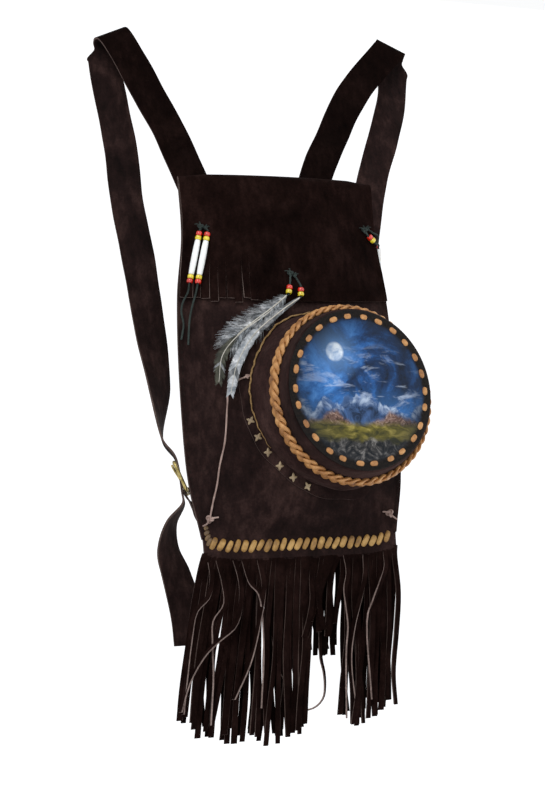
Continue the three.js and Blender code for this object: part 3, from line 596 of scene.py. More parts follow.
def lace(name, dark, middle, light):
    n = Nodes(name)
    pores = n.noise(700, 3, 0.6)
    base = n.ramp(n.noise(70, 3, 0.6, 0.3), [(0.3, dark), (0.5, middle), (0.68, light)])
    creases = n.bump(n.noise(240, 4, 0.6, 0.5), 0.0006, 0.6)
    return n.finish(
        base, n.scaled(pores, 0.3, 0.42), n.bump(pores, 0.0002, 0.5, creases),
        Coat_Weight=0.12, Coat_Roughness=0.4,
    )


def glassy(name, dark, light):
    n = Nodes(name)
    return n.finish(
        n.ramp(n.noise(260, 3, 0.5), [(0.35, dark), (0.6, light)]),
        n.scaled(n.noise(900, 3, 0.6), 0.18, 0.12),
        n.bump(n.noise(380, 2), 0.0002, 0.35), Coat_Weight=0.6, Coat_Roughness=0.08,
    )


def bone():
    n = Nodes("bone")
    streaks = n.noise(1.0, 4, 0.6, 0.2, n.stretched((900, 900, 55)))
    base = n.ramp(streaks, [(0.25, (0.76, 0.74, 0.68)), (0.42, (0.9, 0.89, 0.86)), (0.7, (0.93, 0.93, 0.92))])
    return n.finish(
        base, n.scaled(n.noise(1200, 2, 0.5), 0.25, 0.25), n.bump(streaks, 0.0002, 0.4),
        Coat_Weight=0.25, Coat_Roughness=0.2, Subsurface_Weight=0.08,
    )


def brass():
    n = Nodes("brass")
    tarnish = n.noise(130, 5, 0.65, 0.5)
    scratches = n.noise(1.0, 4, 0.7, 0.3, n.stretched((1900, 500, 300)))
    base = n.ramp(
        tarnish, [(0.3, (0.09, 0.07, 0.025)), (0.48, (0.3, 0.235, 0.085)), (0.66, (0.6, 0.49, 0.22))],
    )
    return n.finish(base, n.scaled(tarnish, -0.25, 0.42), n.bump(scratches, 0.00008, 0.6), Metallic=1.0)


def vane(name, dark, middle, light):
    n = Nodes(name)
    bars = n.noise(1.0, 3, 0.6, 1.2, n.stretched((55, 55, 90)))
    fine = n.noise(1.0, 3, 0.6, 0.0, n.stretched((600, 600, 250)))
    colour = n.ramp(n.weighed(bars, fine, 0.75), [(0.34, dark), (0.5, middle), (0.64, light)])
    return n.finish(colour, 0.7, n.bump(fine, 0.0003, 0.5), Sheen_Weight=0.2, Sheen_Roughness=0.4)


MOON = (-0.34, 0.46)
MOON_RADIUS = 0.13
MOON_HALO = 0.4


def painted_hide():
    """A generic landscape: soft clouds, a pale moon, a ridge, low hills, a plain and grey rocks."""
    n = Nodes("painted_hide")
    uv = n.node("ShaderNodeTexCoord").outputs["UV"]
    split = n.node("ShaderNodeSeparateXYZ", Vector=uv)
    x, y = split.outputs[0], split.outputs[1]

    def past(a, b, soft):
        """Nought where a is below b, and one where it is above it by soft."""
        return n.math("DIVIDE", n.math("SUBTRACT", a, b), soft, clamp=True)

    def distance(a, b):
        return n.math("SQRT", n.math("ADD", n.math("POWER", a, 2.0), n.math("POWER", b, 2.0)))

    def skyline(scale, size, seed, level):
        wave = n.tree.nodes.new("ShaderNodeTexNoise")
        wave.noise_dimensions = "1D"
        n.set(wave.inputs["W"], n.math("ADD", x, seed))
        n.set(wave.inputs["Scale"], scale)
        n.set(wave.inputs["Detail"], 5)
        return n.scaled(wave.outputs["Fac"], size, level)

    strokes = n.noise(14, 4, 0.6, 1.5, uv)
    picture = n.ramp(
        n.weighed(n.noise(1.5, 4, 0.55, 1.1, uv), strokes, 0.86),
        [(0.36, (0.003, 0.008, 0.02)), (0.46, (0.008, 0.035, 0.11)), (0.53, (0.02, 0.1, 0.31)),
         (0.6, (0.05, 0.19, 0.5)), (0.7, (0.14, 0.32, 0.66))],
    )
    picture = n.mix(n.times(past(0.05, y, 0.45), 0.5), picture, (0.07, 0.25, 0.62))
    streaks = n.noise(1.0, 4, 0.65, 0.5, n.stretched((2.2, 7.5, 1), uv, 0.3))
    clouds = n.times(past(streaks, 0.53, 1 / 6), past(0.62, y, 0.3))
    picture = n.mix(n.times(clouds, 0.75), picture, (0.5, 0.6, 0.78))
    from_moon = distance(n.math("SUBTRACT", x, MOON[0]), n.math("SUBTRACT", y, MOON[1]))
    halo = past(MOON_HALO, from_moon, MOON_HALO)
    picture = n.mix(n.times(halo, 0.55), picture, (0.2, 0.42, 0.8))
    craters = n.ramp(n.noise(6, 4, 0.6, 0.4, uv), [(0.4, (0.3, 0.42, 0.62)), (0.6, (0.72, 0.8, 0.88))])
    picture = n.mix(past(MOON_RADIUS, from_moon, 0.03), picture, craters)
    peaks = skyline(1.5, 0.95, 3.1, -0.62)
    faces = n.noise(6, 5, 0.62, 0.9, uv)
    rock = n.ramp(faces, [(0.38, (0.008, 0.02, 0.05)), (0.6, (0.05, 0.11, 0.26))])
    capped = n.ramp(faces, [(0.44, (0.06, 0.13, 0.3)), (0.6, (0.5, 0.6, 0.74))])
    snow = n.math("SUBTRACT", 1.0, past(peaks, y, 0.16))
    picture = n.mix(past(peaks, y, 0.03), picture, n.mix(snow, rock, capped))
    earth = n.ramp(
        strokes, [(0.35, (0.04, 0.02, 0.015)), (0.52, (0.17, 0.1, 0.08)), (0.68, (0.4, 0.29, 0.24))],
    )
    picture = n.mix(past(skyline(2.2, 0.42, 6.6, -0.56), y, 0.06), picture, earth)
    grass = n.noise(1.0, 4, 0.6, 0.6, n.stretched((5, 12, 1), uv, 0.1))
    plain = n.ramp(
        grass, [(0.36, (0.03, 0.03, 0.008)), (0.54, (0.14, 0.12, 0.02)), (0.7, (0.34, 0.28, 0.07))],
    )
    picture = n.mix(past(skyline(1.4, 0.16, 1.7, -0.46), y, 0.08), picture, plain)
    stones = n.ramp(
        n.noise(7, 5, 0.68, 1.1, uv),
        [(0.42, (0.005, 0.006, 0.006)), (0.53, (0.07, 0.066, 0.062)), (0.68, (0.42, 0.4, 0.38))],
    )
    picture = n.mix(past(skyline(2.6, 0.24, 4.4, -0.72), y, 0.05), picture, stones)
    outwards = distance(x, y)
    picture = n.mix(n.times(past(outwards, 0.5, 0.42), 0.8), picture, (0.003, 0.006, 0.012))
    frayed = n.math("ADD", outwards, n.times(n.math("SUBTRACT", strokes, 0.5), 0.08))
    border = past(frayed, 0.86, 0.05)
    hide = n.ramp(n.noise(40, 4, 0.6, 0.2, uv), [(0.4, (0.003, 0.003, 0.003)), (0.6, (0.012, 0.0085, 0.007))])
    ridges = n.bump(strokes, 0.0004, 0.5)
    return n.finish(
        n.mix(border, picture, hide), n.scaled(border, 0.4, 0.34),
        n.bump(n.noise(500, 3), 0.0002, 0.5, ridges),
        Specular_IOR_Level=0.12,
    )


BODY = suede("suede_body", (0.0035, 0.0017, 0.0015), (0.0145, 0.0072, 0.0066), (0.046, 0.025, 0.022))
# The body's suede made darker for the flap, the front fringe and the loose strands: painted shade.
SHADED_SUEDE = suede(
    "suede_painted_shade", (0.0026, 0.0011, 0.0009), (0.0078, 0.0035, 0.0029), (0.019, 0.0092, 0.0078), 0.01, 0.02,
)
GUSSET = suede("suede_gusset", (0.009, 0.0045, 0.0042), (0.026, 0.0125, 0.0115), (0.052, 0.028, 0.025))
DARK = suede(
    "suede_dark", (0.0018, 0.0008, 0.0007), (0.0048, 0.0022, 0.0018), (0.0115, 0.0056, 0.0047), 0.01, 0.02,
)
FLESH = suede("suede_flesh_side", (0.012, 0.0066, 0.0056), (0.022, 0.0125, 0.0105), (0.04, 0.024, 0.02))
EDGE = fibrous("cut_edge", (0.026, 0.016, 0.014), (0.13, 0.09, 0.078))
RAW = fibrous("raw_edge", (0.08, 0.055, 0.048), (0.33, 0.25, 0.225))
GOLD_EDGE = fibrous("golden_edge", (0.11, 0.06, 0.022), (0.42, 0.27, 0.12))
TAN = lace("tan_lace", (0.17, 0.065, 0.016), (0.42, 0.19, 0.055), (0.6, 0.32, 0.12))
LACING = lace("lacing_lace", (0.1, 0.045, 0.01), (0.3, 0.16, 0.035), (0.48, 0.29, 0.09))
WORN_LACE = lace("worn_lace", (0.05, 0.026, 0.01), (0.15, 0.085, 0.028), (0.27, 0.17, 0.06))
CREAM = lace("cream_lace", (0.12, 0.08, 0.045), (0.25, 0.18, 0.1), (0.42, 0.32, 0.19))
HIDE = lace("raw_hide", (0.14, 0.085, 0.07), (0.25, 0.165, 0.14), (0.42, 0.3, 0.26))
TIE = fibrous("tie_lace", (0.01, 0.015, 0.013), (0.045, 0.06, 0.055), 0.7)
THREAD = fibrous("thread", (0.004, 0.0025, 0.002), (0.016, 0.01, 0.008), 0.75)
RED = glassy("red_bead", (0.42, 0.008, 0.003), (0.66, 0.022, 0.006))
YELLOW = glassy("yellow_bead", (0.6, 0.42, 0.01), (0.8, 0.68, 0.03))
BONE = bone()
BRASS = brass()
GREY_VANE = vane("grey_vane", (0.035, 0.04, 0.042), (0.12, 0.13, 0.14), (0.36, 0.37, 0.38))
PALE_VANE = vane("pale_vane", (0.16, 0.19, 0.22), (0.38, 0.41, 0.44), (0.8, 0.82, 0.84))
DARK_VANE = vane("dark_vane", (0.008, 0.009, 0.006), (0.026, 0.028, 0.018), (0.085, 0.085, 0.06))
QUILL = fibrous("quill", (0.35, 0.33, 0.28), (0.7, 0.68, 0.62), 0.5)
PAINTED = painted_hide()

# Body: front and back panels


def panel_grid(surface, first_drop):
    """Rows down a panel, and columns that stand closer near its sides."""
    drops = np.linspace(first_drop, FOOT_DROP, PANEL_ROWS)
    s = np.linspace(-1, 1, PANEL_COLUMNS)
    s = np.sign(s) * (1 - (1 - np.abs(s)) ** 1.35)
    drop, share = np.meshgrid(drops, s, indexing="ij")
    x = share * half_width(drop)
    z = FOLD_Z - drop
    lift = np.where(drop > SEAM_FLAT_DROP, band_lift(x) * ease(SEAM_FLAT_DROP, BODY_HEIGHT, drop), 0)
    return np.stack([x, surface(x, z), z + lift], axis=-1)


def panel(name, surface, side, first_drop, node):
    grid = panel_grid(surface, first_drop)
    inner = grid.copy()
    inner[..., 1] -= side * LEATHER
    form = Form()
    form.slab(grid, inner, marks=(0, 1, 2))
    return form.piece(name, [BODY, EDGE, FLESH], "bag", node)


panel("front_panel_suede", front_y, -1, MOUTH_DROP, ["front_panel"])
panel("back_panel_suede", back_y, 1, 0, ["back_panel"])

# Fringe: cut from the two panels below the laced seam

rng = np.random.default_rng(11)


def strand(form, path, width, thickness, turn, seed):
    """One cut strand; turn is how far it twists on its way down, in radians."""
    places = through(path, 22)
    share = np.linspace(0, 1, len(places))
    angle = turn * ease(0.05, 0.9, share)
    acrosses = np.stack([np.cos(angle), np.sin(angle), 0 * angle], axis=-1)
    widths = width * (1 - 0.12 * share + 0.05 * np.sin(share * 9 + seed))
    ribbon(form, places, acrosses, widths, thickness, columns=3, cup=0.25, seed=seed)


def hanging_fringe(name, side, drift, lowest, gap, short, looks, node):
    """A row of strands from the left to the right. drift and lowest say where each ends, gap is the stretch
    of short strands, and short is how far these hang."""
    form = Form()
    count = int(FOOT_WIDTH / STRAND_PITCH)
    depth = side * HALF_PLY
    for k in range(count):
        top = -FOOT_WIDTH / 2 + (k + 0.5) * FOOT_WIDTH / count
        top_z = BAND_Z + float(band_lift(top)) + 1.5
        end_x = drift(top) + rng.normal(0, 2.2)
        end_z = lowest(top) + rng.uniform(-5, 9)
        if gap[0] < top < gap[1]:
            end_z = BAND_Z - rng.uniform(*short)
        sway = rng.uniform(-4.5, 4.5)
        bow = rng.uniform(-3, 3)
        out = side * rng.uniform(1.5, 9)
        path = [(top, depth, top_z)]
        for share in (0.06, 0.3, 0.55, 0.8, 1.0):
            swing = sway * math.sin(share * 5.1 + k * 0.9) * min(1, 2.2 * share)
            swing += bow * share * (1 - share) * 4
            path.append((
                top + (end_x - top) * share ** 0.85 + swing,
                depth + out * math.sin(min(share * 1.9, 1.57)) + 1.5 * math.sin(share * 7 + k),
                top_z + (end_z - top_z) * share,
            ))
        strand(form, path, STRAND_PITCH * rng.uniform(1.1, 1.5), STRAND_THICKNESS, rng.uniform(-0.5, 0.5), k)
    return form.piece(name, looks, "bag", [node])


front_drift = profile([-102, -60, -20, 20, 45, 80, 102], [-138, -92, -42, 0, 26, 60, 88])
front_low = profile([-102, -80, -40, 0, 30, 60, 102], [-706, -721, -730, -728, -712, -724, -706])
back_drift = profile([-102, -50, 0, 50, 102], [-126, -66, -8, 42, 84])
back_low = profile([-102, -60, -20, 30, 102], [-712, -724, -726, -720, -700])
# The front fringe takes the darker suede, which is painted shade.
hanging_fringe("front_fringe", -1, front_drift, front_low, (12, 44), (60, 84), [SHADED_SUEDE, EDGE], "front_panel")
hanging_fringe("back_fringe", 1, back_drift, back_low, (-2, 42), (86, 96), [DARK, DARK], "back_panel")


def loose_strands():
    """The strands that curl out in front of the row, their light cut edges turned to the front."""
    form = Form()
    routes = [
        [(-96, -2, -559), (-97, -8, -575), (-104, -13, -593), (-117, -13, -606), (-123, -11, -632),
         (-128, -10, -662), (-134, -9, -700)],
        [(-88, -2, -558), (-86, -9, -580), (-87, -13, -601), (-99, -14, -616), (-101, -12, -636),
         (-102, -10, -668), (-107, -9, -712)],
        [(-71, -2, -558), (-69, -10, -580), (-72, -15, -601), (-81, -17, -622), (-98, -17, -635),
         (-112, -15, -648), (-127, -11, -672), (-136, -9, -698)],
        [(-62, -2, -559), (-58, -8, -581), (-51, -11, -593), (-50, -11, -640), (-56, -9, -700)],
        [(-46, -2, -559), (-45, -8, -580), (-47, -11, -592), (-53, -13, -615), (-66, -13, -656),
         (-84, -11, -690)],
        [(45, -2, -558), (44, -8, -575), (38, -12, -592), (38, -12, -607), (39, -10, -628), (35, -10, -650),
         (30, -9, -716)],
        [(66, -2, -558), (62, -8, -578), (53, -13, -600), (43, -13, -628), (38, -10, -660), (40, -9, -712)],
        [(88, -2, -556), (85, -8, -572), (76, -12, -588), (67, -12, -604), (60, -10, -620), (58, -9, -700)],
    ]
    for k, route in enumerate(routes):
        strand(form, route, CURLED_WIDTH, STRAND_THICKNESS, CURLED_TURNS[k % 2], k + 40)
    curly = [(20, 2, -560), (17, 3, -600), (13, 2, -640), (12, 1, -658), (14, 1, -670), (14, 1, -684),
             (11, 0, -695), (2, -1, -703), (-11, -2, -706)]
    strand(form, curly, 3.4, 1.4, 1.0, 61)
    leaning = [(-38, 2, -560), (-36, 3, -610), (-33, 2, -655), (-25, 1, -680), (-18, 0, -696),
               (-13, -1, -721)]
    strand(form, leaning, 4.2, 1.4, 0.7, 62)
    # The loose strands take the darker suede, which is painted shade.
    return form.piece("loose_strands", [SHADED_SUEDE, RAW], "bag", ())


loose_strands()

# Bottom lacing: the lace spirals through two rows of holes


def bottom_lacing():
    form = Form()
    front = -(LEATHER + GAP / 2 + STITCH_SEAT)
    over = np.array([STITCH_PITCH - STITCH_SLANT, 0, STITCH_HEIGHT])
    for k in range(SEAM_STITCHES):
        x = -FOOT_WIDTH / 2 + SEAM_START + STITCH_PITCH * (k + 0.5)
        middle = np.array([x, 0, SEAM_Z + float(band_lift(x))])
        slant = np.array([STITCH_SLANT + 1.4 * math.sin(k * 1.3), 0, STITCH_HEIGHT])
        form.leaf(
            middle + [0, front, 0.5 * math.sin(k * 2.3)], slant, (0, -1, 0),
            STITCH_LENGTH + 0.9 * math.sin(k * 2.9), LACE_WIDTH * (1 + 0.09 * math.sin(k * 1.9)), STITCH_PUFF,
            blunt=3.2, dive=1.7, steps=14, sides=14,
        )
        form.leaf(
            middle + [STITCH_PITCH / 2, -front, 0], over, (0, 1, 0),
            STITCH_LENGTH - 1, LACE_WIDTH - 0.3, BACK_STITCH_PUFF, blunt=5, dive=1.5, steps=10, sides=10,
        )
    top_z = SEAM_Z + CORNER_LIFT + CORNER_RISE
    for share in np.linspace(0, 1, CORNER_TURNS):
        form.leaf(
            (
                CORNER_EDGE - FOOT_WIDTH / 2 + 2.2 * share ** 2,
                -1.9 - 0.4 * share,
                top_z - CORNER_CLIMB * share,
            ),
            (1.0 - 0.5 * share, -0.25, 0.42 + 0.5 * share), (-0.5 + 0.4 * share, -0.85, 0),
            6 + 4.5 * share, LACE_WIDTH * 0.7, 2.4, blunt=3, dive=1.2, mark=1, steps=12, sides=12,
        )
    return form.piece("bottom_lacing_lace", [LACING, WORN_LACE], "bag", ["bottom_lacing"])


bottom_lacing()

# Side seams: small dark stitches along both edges


def side_seams():
    form = Form()
    for sign in (-1, 1):
        for drop in np.arange(14, BODY_HEIGHT - 16, THREAD_PITCH):
            x = sign * float(half_width(drop) - SEAM_INSET)
            z = FOLD_Z - drop
            for surface, out in ((front_y, -1), (back_y, 1)):
                if out < 0 and drop < FLAP_LENGTH + 6:
                    continue
                y = float(surface(x, z)) + out * 0.1
                form.leaf(
                    (x, y, z), (0, 0, 1), (0, out, 0), THREAD_STITCH, THREAD_WIDTH, THREAD_WIDTH - 0.1,
                    dive=0.5, steps=6, sides=6,
                )
    return form.piece("side_seam_thread", [THREAD], "bag", ())


side_seams()

# Flap: rolled over the mouth, its hem cut into strips at the left

ROLL_STEPS = 14


def flap_y(x, z):
    return front_y(x, z) - FLAP_REST - LEATHER


def flap_wave(x, drop):
    """The flap's own soft waves, which only stand out to the front."""
    calm = ease(MOUTH_DROP, 50, drop)
    return calm * (1.1 + 1.0 * ripple(x, drop, 3, 88) + 0.35 * ripple(x, drop, 6, 30))


def flap_point(side, drop, strip=None):
    x = side * half_width(drop)
    sag = HEM_SAG * (1 - side ** 2) * ease(60, FLAP_LENGTH, drop)
    y = flap_y(x, FOLD_Z - drop) + LEATHER / 2 - flap_wave(x, drop)
    z = FOLD_Z - drop - sag
    if strip is not None:
        own = ease(FLAP_LENGTH - HEM_SLIT_DEPTH, FLAP_LENGTH, drop)
        y = y - own * strip["lift"] - own * strip["turn"] * (x - strip["middle"])
        x = strip["middle"] + (x - strip["middle"]) * (1 - 0.12 * own) + own * strip["drift"]
        z = z - own * strip["longer"]
    return np.stack([x, y, z], axis=-1)


def flap_roll(side):
    """Rows of the roll over the mouth, from the back panel's top edge to the front."""
    x = side * half_width(MOUTH_DROP)
    radius = (HALF_PLY - flap_y(x, FOLD_Z - MOUTH_DROP) - LEATHER / 2) / 2
    rows = []
    for step in range(ROLL_STEPS):
        angle = math.pi * step / ROLL_STEPS
        height = np.minimum(FOLD_HEIGHT, radius)
        rows.append(np.stack([
            x,
            HALF_PLY - radius + radius * math.cos(angle),
            FOLD_Z - MOUTH_DROP * step / ROLL_STEPS + height * math.sin(angle),
        ], axis=-1))
    return rows


def flap():
    form = Form()
    split = FLAP_LENGTH - HEM_SLIT_DEPTH
    first, last = -TOP_WIDTH / 2, HEM_SLITS_END
    slits = [first + (last - first) * (k + 1) / (HEM_SLITS + 1) for k in range(HEM_SLITS)]
    across = float(half_width(FLAP_LENGTH - HEM_SLIT_DEPTH / 2))
    edges = [-1.0, *[x / across for x in slits], 1.0]
    spans = [np.linspace(a, b, 4)[:-1] for a, b in zip(edges[:-2], edges[1:-1])]
    side = np.concatenate([*spans, np.linspace(edges[-2], 1, FLAP_COLUMNS)])
    upper = [flap_point(side, np.full_like(side, d)) for d in np.linspace(MOUTH_DROP, split, FLAP_ROWS)]
    grid = np.array([*flap_roll(side), *upper])
    out = normals(grid) * LEATHER / 2
    form.slab(grid - out, grid + out, marks=(0, 1, 2))
    moves = np.random.default_rng(5)
    for a, b in zip(edges[:-1], edges[1:]):
        is_last = b == edges[-1]
        share = np.linspace(a, b, FLAP_COLUMNS if is_last else STRIP_COLUMNS)
        strip = None if is_last else {
            "middle": (a + b) / 2 * float(half_width(FLAP_LENGTH)),
            "lift": moves.uniform(0.3, 3.2),
            "turn": moves.uniform(-0.28, 0.28),
            "drift": moves.uniform(-0.5, 0.5),
            "longer": moves.uniform(-1.5, 3.5),
        }
        drops = np.linspace(split, FLAP_LENGTH, STRIP_ROWS)
        rows = np.array([flap_point(share, np.full_like(share, d), strip) for d in drops])
        out = normals(rows) * LEATHER / 2
        form.slab(rows - out, rows + out, marks=(0, 1 if is_last else 3, 2))
    # The flap takes the darker suede, which is painted shade.
    return form.piece("flap_suede", [SHADED_SUEDE, EDGE, FLESH, RAW], "flap", ["flap"])


flap()

# Round pouch


def foot_place(angle, beyond, lift):
    reach = np.where(np.cos(angle) > 0, POUCH_FOOT_RIGHT, POUCH_FOOT_RADIUS)
    beyond = beyond + POUCH_FOOT_LOBE * np.exp(-(((angle - POUCH_LOBE_TURN) / POUCH_LOBE_SPREAD) ** 2))
    x = POUCH_X + (reach + beyond) * np.cos(angle)
    rise = np.where(np.sin(angle) > 0, POUCH_FOOT_TOP, POUCH_FOOT_RADIUS)
    z = POUCH_Z + (rise + beyond) * np.sin(angle)
    return np.stack([x, front_y(x, z) - lift, z], axis=-1)


def drum_place(angle, radius, height):
    along = height / POUCH_COVER_DEPTH
    x = radius * np.cos(angle) + POUCH_RIM_SHIFT * along
    y = -height + 0 * angle
    z = radius * np.sin(angle) + POUCH_RIM_RISE * along
    turned = np.stack([
        x * math.cos(POUCH_YAW) - y * math.sin(POUCH_YAW),
        x * math.sin(POUCH_YAW) + y * math.cos(POUCH_YAW),
        z,
    ], axis=-1)
    return turned + POUCH_SEAM_CENTRE


POUCH_SIDES = 168
TURN = circle(POUCH_SIDES)


def pouch_flange():
    form = Form()
    beyond = np.linspace(-3, POUCH_FLANGE, 5)
    uneven = 0.7 * np.sin(TURN * 9) + 0.5 * np.sin(TURN * 17 + 1)
    top = np.stack([
        foot_place(TURN, b + uneven * ease(4, POUCH_FLANGE, b), FLANGE_LIFT - 0.3) for b in beyond
    ], axis=1)
    form.slab(top, top + [0, LEATHER - 0.6, 0], ring=True)
    return form.piece("pouch_flange", [BODY, EDGE], "bag", ["pouch_wall"])


def pouch_wall():
    """The gusset, from its raw foot on the flange to its collar under the braid."""
    form = Form()
    sag = -POUCH_SAG * np.maximum(0, -np.sin(TURN))
    foot = foot_place(TURN, 1.2, FLANGE_LIFT + 0.9)
    collar = drum_place(TURN, POUCH_SEAM_RADIUS + POUCH_COLLAR_FLARE, -BRAID_WIDTH / 2 - 1)
    ray = np.stack([np.cos(TURN), 0 * TURN, np.sin(TURN)], axis=-1)
    rows = []
    for s in np.linspace(0, 1, 16):
        bow = math.sin(math.pi * s)
        waves = bow * (1.0 * np.sin(TURN * 7 + 4 * s) + 0.7 * np.sin(TURN * 13 - 3 * s))
        place = foot + (collar - foot) * s + ray * waves[:, None]
        place[:, 2] += sag * bow
        rows.append(place)
    outer = np.stack([*rows, drum_place(TURN, POUCH_SEAM_RADIUS, -GAP / 2)], axis=1)
    away = outer - POUCH_SEAM_CENTRE
    away[..., 1] = 0
    form.slab(outer, outer - unit(away) * LEATHER, ring=True)
    return form.piece("pouch_gusset", [GUSSET, GOLD_EDGE], "bag", ["pouch_wall"])


def pouch_lip():
    """The pale cut edge along the upper left of the gusset's foot, thin at its ends."""
    turns = np.radians(np.linspace(*LIP_TURNS, 150))
    uneven = 0.35 * np.sin(turns * 31) + 0.25 * np.sin(turns * 67)
    taper = np.sqrt(np.sin(np.linspace(0.03, math.pi - 0.03, len(turns))))
    form = Form()
    form.tube(
        foot_place(turns, 2.6 + uneven, FLANGE_LIFT + 2.4),
        LIP_RADIUS * taper * (1 + 0.16 * np.sin(turns * 53)),
    )
    return form.piece("pouch_lip_edge", [GOLD_EDGE], "bag", ["pouch_wall"])


def pouch_cover():
    form = Form()
    outline = [
        (POUCH_SEAM_RADIUS, GAP / 2),
        (POUCH_SEAM_RADIUS - 2, 8),
        (POUCH_SEAM_RADIUS - 4, 16),
        (POUCH_RIM_RADIUS + 0.4, POUCH_COVER_DEPTH - 2.6),
        (POUCH_RIM_RADIUS - 0.2, POUCH_COVER_DEPTH - 1),
        (POUCH_RIM_RADIUS - 1.2, POUCH_COVER_DEPTH - 0.2),
        (POUCH_RIM_RADIUS - POUCH_RIM_ROUND - 1, POUCH_COVER_DEPTH),
        (40, POUCH_COVER_DEPTH),
        (2, POUCH_COVER_DEPTH),
    ]
    outer, inner = [], []
    for radius, height in outline:
        uneven = 0.35 * np.sin(TURN * 8 + height) if height < POUCH_COVER_DEPTH - 3 else 0 * TURN
        outer.append(drum_place(TURN, radius + uneven, height))
        inner.append(drum_place(TURN, max(radius - LEATHER, 1), min(height, POUCH_COVER_DEPTH - LEATHER)))
    form.slab(np.stack(outer, axis=1), np.stack(inner, axis=1), ring=True)
    return form.piece("pouch_cover_suede", [GUSSET, EDGE], "bag", ["pouch_cover"])


def braid():
    """A plait of three flat laces over the drum's seam, each running from side to side and under the next."""
    form = Form()
    slope = (POUCH_SEAM_RADIUS - POUCH_RIM_RADIUS) / POUCH_COVER_DEPTH
    turns = circle(BRAID_WAVES * 24)
    full = 1 - 0.3 * ease(-0.1, 0.9, np.cos(turns - BRAID_THIN_TURN))
    section = circle(12)
    for lace_number in range(3):
        phase = BRAID_WAVES * turns + lace_number * 2 * math.pi / 3
        height = (BRAID_WIDTH - BRAID_LACE) / 2 * full * np.sin(phase) - 1
        base = POUCH_SEAM_RADIUS + np.where(height < 0, POUCH_COLLAR_FLARE, -height * slope)
        bulge = BRAID_BULGE * full * np.cos(height / BRAID_WIDTH * math.pi)
        path = drum_place(turns, base + bulge + BRAID_WEAVE * np.sin(2 * phase), height)
        ray = unit(path - drum_place(turns, 0 * turns, height))
        along = unit(np.roll(path, -1, 0) - np.roll(path, 1, 0))
        side = unit(np.cross(along, ray))
        out = np.cross(side, along)
        half = (BRAID_LACE / 2 * full)[:, None, None]
        form.loft(
            path[:, None]
            + side[:, None] * half * np.cos(section)[None, :, None]
            + out[:, None] * BRAID_THICKNESS / 2 * np.sin(section)[None, :, None],
            ring=True,
        )
    return form.piece("pouch_braid_lace", [TAN], "bag", ["pouch_braid"])


def star_stitches():
    """Two crossed stitches for each star, on the flange where the gusset leaves it bare."""
    form = Form()
    for k in range(STAR_STITCHES):
        angle = np.array(2 * math.pi * (k + 0.5) / STAR_STITCHES)
        if not SEEN_STARS[0] < math.degrees(angle) < SEEN_STARS[1]:
            continue
        beyond, lift = POUCH_FLANGE / 2 + 1, FLANGE_LIFT + 0.2
        centre = foot_place(angle, beyond, lift)
        ahead = unit(foot_place(angle + 0.01, beyond, lift) - centre)
        outwards = unit(foot_place(angle, beyond + 1, lift) - centre)
        out = unit(np.cross(ahead, outwards))
        if out[1] > 0:
            out = -out
        for turn, length in ((0.85, 9.45), (-0.8, 8.46)):
            turn += 0.18 * math.sin(k * 2.3)
            along = ahead * math.cos(turn) + outwards * math.sin(turn)
            form.leaf(centre + out * 0.3, along, out, length, 3.3, 1.5, blunt=1.5, dive=0.5, steps=9)
    return form.piece("star_stitches", [CREAM], "bag", ["pouch_wall"])


def picture_disc():
    """The painted disc, crowned a little in its middle; its face carries the picture's coordinates."""
    form = Form()
    low = POUCH_COVER_DEPTH + GAP
    high = low + DISC_THICKNESS
    radii = [0.6, 12, 26, 40, 52, 62, 69, 73, DISC_RADIUS - 0.4, DISC_RADIUS]
    heights = [high + 0.5] * 5 + [high + 0.35, high + 0.1, high, high - 0.25, high - 0.8]
    outer = [drum_place(TURN, r, h) for r, h in zip(radii, heights)]
    for ring, r in zip(outer, radii):
        ring[:, 1] -= 0.12 * np.sin(TURN * 3 + r / 20)
    inner = [drum_place(TURN, r, low) for r in radii]
    form.slab(np.stack(outer, axis=1), np.stack(inner, axis=1), ring=True)
    flat = np.array([[r * math.cos(t), r * math.sin(t)] for t in TURN for r in radii]) / DISC_RADIUS
    uv = np.concatenate([flat, flat])
    return form.piece("picture_disc_hide", [PAINTED, DARK], "bag", ["picture_disc"], uv=uv)


def disc_stitches():
    form = Form()
    height = POUCH_COVER_DEPTH + GAP + DISC_THICKNESS + 0.4
    front = unit(drum_place(np.array(0.0), 0.0, 1.0) - drum_place(np.array(0.0), 0.0, 0.0))
    for k in range(DISC_STITCHES):
        angle = np.array(2 * math.pi * k / DISC_STITCHES + 0.02 * math.sin(k * 3.1))
        centre = drum_place(angle, DISC_STITCH_RADIUS, height)
        ahead = drum_place(angle + 0.01, DISC_STITCH_RADIUS, height) - centre
        length = 8.6 + 0.6 * math.sin(k * 1.7)
        form.leaf(centre, ahead, front, length, 5.0, 2.6, blunt=3.4, steps=12, sides=12)
    return form.piece("disc_stitches", [TAN], "bag", ["picture_disc"])


pouch_flange()
pouch_wall()
pouch_lip()
pouch_cover()
braid()
star_stitches()
picture_disc()
disc_stitches()

# Shoulder straps and buckles


class Buckle:
    """Directions across a buckle's bars, up its strap and outwards."""

    def __init__(self, centre, up, across_hint):
        self.centre = np.array(centre, float)
        self.along = unit(up)
        self.out = unit(np.cross(self.along, across_hint))
        self.across = unit(np.cross(self.out, self.along))

    def place(self, a, b, c):
        return self.centre + self.across * a + self.along * b + self.out * c


def on_back(x, z, lift):
    return (x, float(back_y(x, z)) + lift, z)


STRAP_LAY = 2 * GAP + STRAP_THICKNESS / 2
BILLET_OFFSET = BUCKLE_BAR / 2 + GAP + BILLET_THICKNESS / 2
STRAP_OVER = BILLET_OFFSET + BILLET_THICKNESS / 2 + GAP + STRAP_THICKNESS / 2
STRAP_BEHIND = -(BUCKLE_BAR / 2 + GAP + STRAP_THICKNESS / 2)


